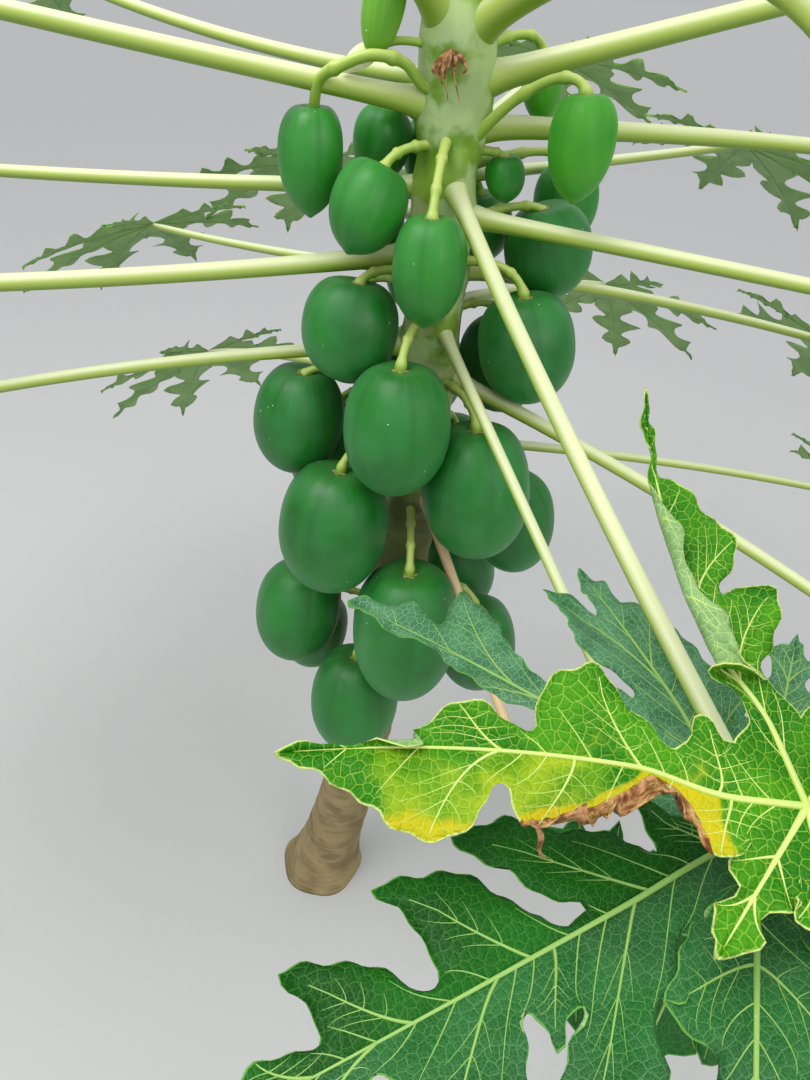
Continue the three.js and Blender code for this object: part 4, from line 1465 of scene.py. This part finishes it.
def folded_curl(along, across):
    stretch = smooth(along, 0.25, 0.31) * (1 - smooth(along, 0.70, 0.74))
    return stretch * smooth(across, FOLD_LINE - 0.01, FOLD_LINE + 0.02) * 2.85


def rim_curl(along, across):
    stretch = smooth(along, 0.735, 0.75) * (1 - smooth(along, 0.80, 0.85))
    return stretch * smooth(across, 0.006, 0.016) * 2.6


CURLS = {(MIDDLE, 1): dead_curl, (MIDDLE, -1): rim_curl, (UPPER, 1): folded_curl}
print("curled half lobes:", len(CURLS))

# %% [markdown]
# The patches are rules too. `dead` starts where the curl does. `yellow` fills most of the ill half,
# less beside the main rib and near the tip. `bright` marks where the yellow is full: by the hub, next
# to the dead band and along the rim.

# %% Patches
def on_ill_half(rule):
    """Limits a rule to the middle lobe's lower half."""
    def limited(key, data):
        if key != (MIDDLE, 1):
            return np.zeros_like(data["along"])
        return rule(data["along"], data["across"])
    return limited


def dead_rule(along, across):
    return smooth(beyond_dead_line(along, across), -0.006, 0.006)


def yellow_rule(along, across):
    far = smooth(along + 0.5 * across, 0.74, 0.92)
    by_rib = smooth(across, 0.12, 0.02)
    return 0.85 * smooth(along, 0.1, 0.22) * (1 - 0.8 * far) * (1 - 0.4 * by_rib)


def bright_rule(along, across):
    near_hub = smooth(along, 0.13, 0.18) * (1 - smooth(along + 0.3 * across, 0.22, 0.30))
    by_dead = smooth(beyond_dead_line(along, across), -0.035, -0.006)
    rim = smooth(along, 0.55, 0.64) * (1 - smooth(along, 0.76, 0.86)) * smooth(across, 0.10, 0.16)
    return np.maximum(np.maximum(near_hub, by_dead), 0.75 * rim)


PATCHES = {"dead": dead_rule, "yellow": yellow_rule, "bright": bright_rule}
EXTRAS = {label: on_ill_half(rule) for label, rule in PATCHES.items()}
print("patches:", sorted(EXTRAS))

# %% [markdown]
# Two dry shreds hang from the end of the withered band. They start at the tip of a side rib, so they
# stay on the leaf wherever it goes.

# %% Shreds and the turning leaf
SHREDS = ((0.0, 0.0013), (0.0016, 0.0008))
SHRED_POINTS = 24
THREAD_SIDES = 8


def hanging_shreds(row):
    grid, data = half_lobe(row, MIDDLE, 1, NEAR_STEP, NEAR_COLUMNS, dead_curl)
    start = np.array(blade_matrix(row) @ Vector(grid[data["tips"][1], -1].tolist()))
    thinner = 1 - 0.7 * np.linspace(0, 1, SHRED_POINTS) ** 2
    lines = []
    for aside, thick in SHREDS:
        drops = [(0, 0, 0.002), (0.003 + aside, 0.001, -0.008), (0.004, -aside, -0.018),
                 (0.010 - aside, 0.002, -0.029)]
        lines.append((through(start + np.array(drops), SHRED_POINTS), thick * thinner))
    return stems("hanging_shreds", lines, THREAD_SIDES, WITHERED)


row = LEAVES[TURNING_LEAF - 1]
leaf_piece(row, TURNING_LEAF, added=[hanging_shreds(row)], curls=CURLS, extras=EXTRAS)
print("turning leaf:", len(PIECES[-1].data.polygons), "faces")

# %% [markdown]
# The youngest leaves stand up round the tip, and grow from one small bud of folded leaves.

# %% Young leaves and bud
CAP_RADIUS, CAP_HEIGHT, CAP_BELOW_TOP = 0.030, 0.075, 0.035
CAP_ROWS, CAP_COLUMNS = 18, 30


def tip_bud():
    """A blunt cone of overlapping scales, as a ridged dome."""
    part = np.linspace(0, 1, CAP_ROWS)[:, None]
    turn = full_turn(CAP_COLUMNS)[None]
    radius = CAP_RADIUS * np.cos(part * math.pi / 2) ** 0.7 * (1 + 0.12 * np.cos(5 * turn + 4 * part))
    base = trunk_axis(TRUNK_HEIGHT - CAP_BELOW_TOP)
    x, y = base[0] + radius * np.cos(turn), base[1] + radius * np.sin(turn)
    z = np.broadcast_to(base[2] + CAP_HEIGHT * part, x.shape)
    points = np.vstack([np.stack([x, y, z], -1).reshape(-1, 3), [base]])
    faces = grid_faces(CAP_ROWS, CAP_COLUMNS, closed=True).tolist()
    faces += [(len(points) - 1, (i + 1) % CAP_COLUMNS, i) for i in range(CAP_COLUMNS)]
    return plain_mesh("tip_bud", points, faces, TIP_GREEN)


young = [mesh for i, row in enumerate(YOUNG_LEAVES) for mesh in leaf_meshes(row, f"young_{i}")]
add_piece("young_leaves_grown", joined("young_leaves_grown", young + [tip_bud()]), "leaf", "young_leaves")
add_piece("dry_stalk_grown", stalk_mesh(DRY_LEAF_STALK, "dry_stalk_grown", DRY), "dry_stalk", "dry_stalk")
print("young leaves:", len(PIECES[-2].data.polygons), "faces")

# %% [markdown]
# ## The fruit
# The table again repeats the solids': the height of a fruit's centre, its direction and distance
# from the trunk's axis, its radius and half length, how far its tip leans outwards, and how its stalk
# rises and arches.

# %% Fruit table
def fruit(z, az, out, radius, half, lean=8, rise=0.012, arch=0.024):
    return dict(z=z, az=az, out=out, radius=radius, half=half, lean=lean, rise=rise, arch=arch)


FRUIT = [
    fruit(1.466, 200, 0.082, 0.021, 0.042, 12, -0.020),
    fruit(1.324, 188, 0.150, 0.036, 0.059, 2, -0.022, 0.0),
    fruit(1.335, 152, 0.088, 0.033, 0.044, 8, -0.024, 0.002),
    fruit(1.290, -140, 0.110, 0.041, 0.050, 28, 0.008, 0.012),
    fruit(1.240, -97, 0.112, 0.040, 0.060, 4, 0.056, 0.004),
    fruit(1.1545, -143, 0.120, 0.055, 0.062, 10, -0.014, 0.010),
    fruit(1.017, -167, 0.165, 0.058, 0.074, 8, -0.006, 0.004),
    fruit(1.060, -104, 0.136, 0.0615, 0.083, 4, 0.016),
    fruit(0.901, -132, 0.148, 0.071, 0.092),
    fruit(0.712, -158, 0.150, 0.062, 0.086),
    fruit(0.764, -84, 0.150, 0.072, 0.108, 4),
    fruit(0.603, -107, 0.130, 0.064, 0.090, 6),
    fruit(0.966, -53, 0.126, 0.069, 0.092),
    fruit(0.862, -2, 0.152, 0.058, 0.080),
    fruit(0.664, -20, 0.146, 0.060, 0.082),
    fruit(1.137, -22, 0.122, 0.057, 0.069, 10),
    fruit(1.232, 13, 0.133, 0.052, 0.058, 16, -0.034, 0.002),
    fruit(1.315, 4, 0.067, 0.022, 0.026, 8, 0.0, 0.004),
    fruit(1.268, 37, 0.196, 0.040, 0.052, 4, 0.0, 0.020),
    fruit(1.363, -30, 0.151, 0.034, 0.053, 2, -0.095, 0.022),
    fruit(1.402, 28, 0.112, 0.023, 0.036, 6, -0.020),
    fruit(1.320, 104, 0.088, 0.033, 0.044),
    fruit(1.248, 142, 0.114, 0.044, 0.046, 8, -0.008, 0.0),
    fruit(1.240, 62, 0.100, 0.042, 0.046, 8, -0.014),
    fruit(1.168, 98, 0.118, 0.052, 0.056, 8, -0.008),
    fruit(1.095, 148, 0.122, 0.054, 0.066),
    fruit(1.068, 35, 0.122, 0.056, 0.070),
    fruit(1.024, 92, 0.126, 0.060, 0.072),
    fruit(0.925, 155, 0.135, 0.062, 0.084),
    fruit(0.876, 60, 0.130, 0.066, 0.088),
    fruit(0.772, 112, 0.130, 0.064, 0.086),
    fruit(0.705, 40, 0.128, 0.060, 0.082),
    fruit(0.600, 165, 0.122, 0.054, 0.076),
]
print("fruit:", len(FRUIT))

# %% [markdown]
# A fruit is a turned shape that isn't quite round. It has square shoulders, five soft ridges that
# are strongest there, a small hollow where the stalk goes in, and a blunt nipple. A young fruit is
# widest near its top, and more pointed. The outline is cut into even steps, so the skin's faces are
# even too.

# %% Fruit outline
FRUIT_ROWS, OUTLINE_SAMPLES = 48, 500
SHOULDER = 0.80


def fruit_frame(row):
    """Centre, axis from tip to top, and the two directions across it."""
    centre = trunk_axis(row["z"]) + heading(row["az"]) * row["out"]
    axis = heading(row["az"] + 180, 90 - row["lean"])
    side = heading(row["az"] + 90)
    return centre, axis, side, np.cross(axis, side)


def fruit_profile(row, youth):
    """Way down, radius and height of the outline at even steps, from the hollow to the nipple."""
    angle = np.linspace(0, math.pi, OUTLINE_SAMPLES)
    level = np.cos(angle)
    top = level > 0
    wide = np.abs(np.sin(angle)) ** np.where(top, SHOULDER, 0.98 + 0.2 * youth)
    middle = 0.03 + 0.13 * youth
    hollow = (0.13 + 0.03 * youth) * hump(wide, 0, 0.36)
    nipple = 0.05 * hump(wide, 0, 0.13)
    above = middle + (1.0 - middle) * np.abs(level) ** 0.88 - hollow
    below = middle - (0.96 + middle) * np.abs(level) ** 0.95 - nipple
    radius, height = row["radius"] * wide, row["half"] * np.where(top, above, below)
    way = np.concatenate([[0], np.cumsum(np.hypot(np.diff(radius), np.diff(height)))])
    even = np.linspace(0, way[-1], FRUIT_ROWS)
    return even / way[-1], np.interp(even, way, radius), np.interp(even, way, height)


print("fruit 1 is", round(2 * float(fruit_profile(FRUIT[0], 1.0)[1].max()), 3), "m across")

# %% [markdown]
# The body turns the outline round the fruit's axis, with its ridges, and a little lopsided in a way
# of its own. `skin` and `groove` go along for the finish, the latter for the shade painted
# between the ridges.

# %% Fruit bodies
FRUIT_COLUMNS = 64
RIDGES = 5
YOUNG_BELOW, YOUNG_OVER = 0.055, 0.025


def fruit_body(row, name, material, number):
    youth = float(smooth(YOUNG_BELOW - row["radius"], 0.0, YOUNG_OVER))
    part, profile, height = (values[:, None] for values in fruit_profile(row, youth))
    turn = full_turn(FRUIT_COLUMNS)[None]
    ridge = np.cos(RIDGES * turn + number) * (0.022 + 0.02 * youth) * hump(part, 0.22, 0.34)
    lopsided = 1 + 0.03 * np.sin(turn + number * 1.7) + 0.018 * np.sin(2 * turn + number)
    radius = profile * (1 + ridge) * lopsided
    height = height + 0.025 * row["half"] * np.cos(turn + number * 2.3) * np.sin(math.pi * part)
    centre, axis, side, front = fruit_frame(row)
    spin_x, spin_y = radius * np.cos(turn), radius * np.sin(turn)
    points = centre + spin_x[..., None] * side + spin_y[..., None] * front + height[..., None] * axis
    skin = np.stack(np.broadcast_arrays(np.cos(turn) + number, np.sin(turn), part), -1)
    groove = np.clip(-np.cos(RIDGES * turn + number), 0, 1) ** 10 * hump(part, 0.2, 0.4)

    inner = slice(FRUIT_COLUMNS, -FRUIT_COLUMNS)
    poles = np.array([points[0].mean(0), points[-1].mean(0)])
    points = np.vstack([points.reshape(-1, 3)[inner], poles])
    skin = np.vstack([skin.reshape(-1, 3)[inner], [(number, 0, 0), (number, 0, 1)]])
    groove = np.concatenate([groove.reshape(-1)[inner], [0, 0]])
    faces = shell_faces(FRUIT_ROWS - 2, FRUIT_COLUMNS)
    return plain_mesh(name, points, faces, material, skin=skin, groove=groove)


print("widest fruit:", 2 * max(row["radius"] for row in FRUIT), "m across")

# %% [markdown]
# The stalk is a curve that leaves the trunk, arches over and enters the hollow. It has a swollen
# joint on the way, where it would drop off.

# %% Fruit stalks
FRUIT_STALK_RADIUS = 0.0060
FRUIT_STALK_SHOULDER = 0.6
FRUIT_STALK_SINK = 0.008
FRUIT_STALK_POINTS, FRUIT_STALK_SIDES = 34, 12
ARCHED_FRUIT = 2
ARCH_FROM = 1.395
ARCH = [(0.112, -0.022, 1.402), (0.090, -0.036, 1.424), (0.058, -0.050, 1.430), (0.029, -0.050, 1.420),
        (0.004, -0.036, 1.404)]
ARCH_POINTS = 60


def arched_stalk(row, name):
    """The stalk that climbs over a leaf stalk before it hangs its fruit."""
    centre, axis, _, _ = fruit_frame(row)
    end = centre + axis * (row["half"] * 0.91 - FRUIT_STALK_SINK)
    route = through([trunk_axis(ARCH_FROM)] + ARCH + [tuple(end)], ARCH_POINTS)
    part = np.linspace(0, 1, ARCH_POINTS)
    swell = 0.35 * hump(part, 0.4, 0.02) + 0.3 * hump(part, 0.72, 0.025)
    return stems(name, [(route, FRUIT_STALK_RADIUS * (0.95 + swell))], FRUIT_STALK_SIDES, FRUIT_STALK)


def fruit_stalk(row, name):
    centre, axis, _, _ = fruit_frame(row)
    top = centre + axis * row["half"]
    foot = trunk_axis(top[2] + row["rise"])
    shoulder = foot + (top - foot) * FRUIT_STALK_SHOULDER
    shoulder[2] = max(foot[2], top[2]) + row["arch"]
    sunk = top - axis * (FRUIT_STALK_SINK + 0.09 * row["half"])
    route = cubic((foot, shoulder, top + axis * row["arch"], sunk), FRUIT_STALK_POINTS)
    part = np.linspace(0, 1, FRUIT_STALK_POINTS)
    swell = 0.5 * hump(part, 0, 0.22) + 0.35 * hump(part, 0.36, 0.025)
    swell += 0.3 * hump(part, 0.62, 0.03) + 0.4 * hump(part, 0.9, 0.06)
    return stems(name, [(route, FRUIT_STALK_RADIUS * (0.82 + swell))], FRUIT_STALK_SIDES, FRUIT_STALK)


print("fruit stalks arch by up to", max(row["arch"] for row in FRUIT), "m")

# %% [markdown]
# A small brown calyx stays round the stalk: a flat star with five points. Its rings go from the
# middle of its upper face over the edge to below, each as a height and a share of its reach.

# %% Calyx
CALYX_RINGS = ((0.0, 0.3), (0.0014, 0.6), (0.0012, 1.0), (0.0, 1.0), (-0.003, 0.3))
CALYX_SIDES = 40


def calyx_mesh(row, name):
    centre, axis, side, front = fruit_frame(row)
    turn = full_turn(CALYX_SIDES)
    reach = 0.0065 + row["radius"] * (0.02 + 0.04 * np.abs(np.cos(2.5 * turn)) ** 3)
    points = []
    for rise, share in CALYX_RINGS:
        dish = row["half"] * (0.87 + 0.015 * share)
        ring = centre + (reach * share * np.cos(turn))[:, None] * side
        points.append(ring + (reach * share * np.sin(turn))[:, None] * front + axis * (dish + rise))
    points.append(np.array([points[0].mean(0), points[-1].mean(0)]))
    return plain_mesh(name, np.vstack(points), shell_faces(len(CALYX_RINGS), CALYX_SIDES), CALYX)


print("calyx faces:", len(shell_faces(len(CALYX_RINGS), CALYX_SIDES)))

# %% [markdown]
# Fruit bear specks of dried milk, the white sap that beads on any scratch. A second geometry tree
# scatters small flat drops over a skin, with a fixed seed for each fruit.

# %% The drop tree
SMALLEST_DROP = 0.4
DROP_FLATNESS = 0.4


def drop_tree():
    inputs = [("Skin", 'Geometry'), ("Density", 'Float'), ("Size", 'Float'), ("Seed", 'Int'),
              ("Finish", 'Material')]
    tree, given = geometry_tree("drops_on_skin", inputs, "Drops")
    sockets = {"Mesh": given["Skin"], "Density": given["Density"], "Seed": given["Seed"]}
    spread = put(tree, 'GeometryNodeDistributePointsOnFaces', sockets).outputs
    drop = made(tree, 'MeshIcoSphere', {"Radius": 1.0, "Subdivisions": 2})
    sockets = {2: SMALLEST_DROP, 3: 1.0, "Seed": given["Seed"]}
    size = put(tree, 'FunctionNodeRandomValue', sockets, data_type='FLOAT').outputs[1]
    wide = maths(tree, 'MULTIPLY', size, given["Size"])
    scale = from_xyz(tree, wide, wide, maths(tree, 'MULTIPLY', wide, DROP_FLATNESS))
    sockets = {"Points": spread["Points"], "Instance": drop, "Rotation": spread["Rotation"], "Scale": scale}
    end_tree(tree, made(tree, 'InstanceOnPoints', sockets), given["Finish"], "Drops")
    return tree


DROPS = drop_tree()
print("drop tree:", len(DROPS.nodes), "nodes")

# %% [markdown]
# Every fruit is now one piece of four meshes. Its tone follows its size, because papayas darken as
# they fill, except for two that are bright for their size.

# %% All fruit
DROP_SIZE = 0.0008
DROP_DENSITY = 160.0
BRIGHT_FRUIT = (20, 21)
SMALL_UP_TO, HALF_UP_TO = 0.0215, 0.045


def fruit_tone(row, number):
    if number in BRIGHT_FRUIT:
        return "bright"
    if row["radius"] < SMALL_UP_TO:
        return "small"
    return "half" if row["radius"] < HALF_UP_TO else "full"


for number, row in enumerate(FRUIT, 1):
    node = f"fruit_{number:02d}"
    body = fruit_body(row, node + "_body", SKINS[fruit_tone(row, number)], number)
    drops = grown(DROPS, body.copy(), Density=DROP_DENSITY, Size=DROP_SIZE, Seed=number, Finish=LATEX)
    stalk = (arched_stalk if number == ARCHED_FRUIT else fruit_stalk)(row, node + "_stalk")
    meshes = [body, stalk, calyx_mesh(row, node + "_calyx"), drops]
    add_piece(node + "_grown", joined(node + "_grown", meshes), "fruit", node)
print("fruit pieces:", len(FRUIT), "faces:", sum(len(piece.data.polygons) for piece in PIECES[-len(FRUIT):]))

# %% [markdown]
# ## Flower remains
# A dead flower with two threads hangs between the top leaf stalks, and a pale bud stands on its own
# short stalk. All of it is stems again: a petal is a short crooked one, a bud a thick pointed one.

# %% Dead flower and bud
KNOT = np.array((0.1364, -0.045, 1.4404))
NECK = [(0.142, -0.010, 1.446), (0.139, -0.036, 1.446), tuple(KNOT)]
NECK_RADIUS, NECK_POINTS = 0.0034, 10
PETALS, PETAL_POINTS = 11, 14
PETAL_BENDS = ((0.6, 0.4, -0.004, 0.35), (1.0, 0.5, -0.006, 0.75), (0.7, 0.4, -0.004, 1.0))
PETAL_RADII = ((0, 0.4, 1), (0.0012, 0.0026, 0.0007))
THREAD_ENDS = [(0.1487, -0.052, 1.3935), (0.1363, -0.054, 1.3957)]
THREAD_RADII, THREAD_POINTS = (0.0010, 0.0005), 20
BUD_STALK = [(0.142, 0.0, 1.425), (0.110, -0.018, 1.440), (0.082, -0.022, 1.442), (0.064, -0.022, 1.436)]
BUD_STALK_RADIUS, BUD_STALK_POINTS, BUD_STALK_SIDES = 0.0042, 20, 10
BUD_AXIS = [(0.066, -0.022, 1.437), (0.052, -0.024, 1.430), (0.038, -0.027, 1.421), (0.026, -0.030, 1.412)]
BUD_RADIUS, BUD_POINTS, BUD_SIDES = 0.0125, 24, 16


def dead_flower():
    random = np.random.default_rng(5)
    lines = [(through(NECK, NECK_POINTS), np.full(NECK_POINTS, NECK_RADIUS))]
    petal = np.interp(np.linspace(0, 1, PETAL_POINTS), *PETAL_RADII)
    for _ in range(PETALS):
        x, y = random.normal(0, 0.010, 2)
        length = random.uniform(0.018, 0.034)
        bends = [KNOT + (x * a, y * b + c, -d * length) for a, b, c, d in PETAL_BENDS]
        lines.append((through([KNOT] + bends, PETAL_POINTS), petal))
    for end in THREAD_ENDS:
        middle = (KNOT + end) / 2 + random.normal(0, 0.004, 3)
        lines.append((through([KNOT, middle, end], THREAD_POINTS), np.linspace(*THREAD_RADII, THREAD_POINTS)))
    return stems("dead_flower", lines, THREAD_SIDES, WITHERED)


def bud_meshes():
    part = np.linspace(0, 1, BUD_POINTS)
    shape = BUD_RADIUS * np.sin(math.pi * np.clip(0.02 + 0.97 * part, 0, 1)) ** 0.7 * (1 - 0.25 * part)
    route = through(BUD_STALK, BUD_STALK_POINTS)
    stalk = [(route, np.full(BUD_STALK_POINTS, BUD_STALK_RADIUS))]
    return [stems("bud_stalk", stalk, BUD_STALK_SIDES, FRUIT_STALK),
            stems("flower_bud", [(through(BUD_AXIS, BUD_POINTS), shape)], BUD_SIDES, BUD)]


add_piece("flower_remains", joined("flower_remains", [dead_flower()] + bud_meshes()), "dry_stalk")
print("flower remains:", len(PIECES[-1].data.polygons), "faces")

# %% [markdown]
# ## The trunk's surface
# Old leaf scars follow the spiral in which the leaves came, a golden angle apart. Each is a
# shield-shaped mark with a raised rim and a tiny bud over it. The trunk also swells round the foot
# of every leaf that still stands.

# %% Scars and swellings
TRUNK_COLUMNS = 120
SCAR_FROM, SCAR_TO, SCAR_STEP = 0.045, 1.34, 0.027
GOLDEN_ANGLE = 137.5
SCAR_HALF_WIDTH = 0.024
SCAR_HALF_HEIGHT = 0.011
SCAR_RIM, SCAR_BUD, SCAR_DEPTH = 0.0011, 0.0014, 0.0007
FOOT_SWELL, FOOT_HEIGHT, FOOT_BELOW = 0.42, 0.028, 0.004


def wrapped(angle):
    return (angle + math.pi) % math.tau - math.pi


def scar_marks(turn, z, radius):
    """1 inside the marks of fallen leaves, and how far the skin stands out round them."""
    swell, scar = np.zeros((len(z), TRUNK_COLUMNS)), np.zeros((len(z), TRUNK_COLUMNS))
    for k in range(int((SCAR_TO - SCAR_FROM) / SCAR_STEP)):
        level = SCAR_FROM + k * SCAR_STEP
        arc = wrapped(turn - math.radians(GOLDEN_ANGLE * k)) * radius / SCAR_HALF_WIDTH
        drop = (z - level) / SCAR_HALF_HEIGHT
        drop = np.where(drop > 0, drop * 1.6, drop * 0.8) + 0.35 * arc * arc
        shield = np.sqrt(arc * arc + drop * drop)
        scar = np.maximum(scar, 1 - smooth(shield, 0.75, 1.0))
        bud = np.sqrt((arc / 0.3) ** 2 + ((z - level - 1.5 * SCAR_HALF_HEIGHT) / 0.005) ** 2)
        swell += SCAR_RIM * hump(shield, 1.05, 0.2) + SCAR_BUD * np.exp(-bud ** 2)
    return scar, swell - SCAR_DEPTH * scar


def leaf_feet(turn, z, radius):
    """How far the skin stands out round the feet of the standing leaves."""
    swell = 0
    for row in LEAVES + YOUNG_LEAVES:
        arc = wrapped(turn - math.radians(row["az"])) * radius / row["thick"][0]
        level = (z - row["z"] + FOOT_BELOW) / FOOT_HEIGHT
        swell = swell + FOOT_SWELL * row["thick"][0] * np.exp(-(arc / 1.3) ** 2 - level ** 2)
    return swell


print("scars:", int((SCAR_TO - SCAR_FROM) / SCAR_STEP))

# %% [markdown]
# The trunk's mesh is a fine grid round its line, closer at the rounded tip. Slow rings of growth and
# a few shallow flutes at the root keep it from looking turned on a lathe.

# %% Trunk mesh
TRUNK_ROW = 0.004
SHOOT_ROWS = 14
GROWTH_RING = 0.0004


def trunk_heights():
    shaft_top = TRUNK_HEIGHT - SHOOT_BELOW_TOP
    dome = shaft_top + SHOOT_BELOW_TOP * np.sin(np.linspace(0, math.pi / 2, SHOOT_ROWS))[:-1]
    return np.concatenate([np.arange(0, shaft_top, TRUNK_ROW), dome])


def trunk_mesh():
    heights = trunk_heights()
    turn = full_turn(TRUNK_COLUMNS)[None]
    z = heights[:, None]
    radius = np.array([trunk_radius(h) for h in heights])[:, None]
    scar, swell = scar_marks(turn, z, radius)
    swell += leaf_feet(turn, z, radius)
    ring = 0.5 * np.sin(z * 210 + 1.4 * np.sin(turn)) + 0.5 * np.sin(z * 137 + 2 * np.cos(2 * turn))
    swell += GROWTH_RING * ring * (1 - smooth(z, 0.9, 1.2)) * smooth(z, 0.0, 0.03)
    flute = 0.03 * np.sin(5 * turn + 0.6) * np.exp(-z / 0.05) + 0.02 * np.sin(3 * turn + z * 4)
    wide = radius * (1 + flute) + swell * smooth(TRUNK_HEIGHT - z, 0.0, 0.08)
    axis = np.array([trunk_axis(h) for h in heights])
    x = axis[:, :1] + wide * np.cos(turn)
    y = axis[:, 1:2] + wide * np.sin(turn)
    points = np.stack([x, y, np.broadcast_to(z, x.shape)], -1).reshape(-1, 3)
    points = np.vstack([points, [trunk_axis(0), trunk_axis(TRUNK_HEIGHT)]])
    scar = np.concatenate([scar.reshape(-1), [0, 0]])
    return plain_mesh("trunk_grown", points, shell_faces(len(heights), TRUNK_COLUMNS, True), BARK, scar=scar)


add_piece("trunk_grown", trunk_mesh(), "bark", "trunk")
print("trunk:", len(PIECES[-1].data.polygons), "faces")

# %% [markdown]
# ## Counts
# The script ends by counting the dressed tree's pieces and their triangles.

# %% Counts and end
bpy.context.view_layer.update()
triangles = sum(len(piece.data.loops) - 2 * len(piece.data.polygons) for piece in PIECES)
print("pieces:", len(PIECES), "triangles:", triangles)
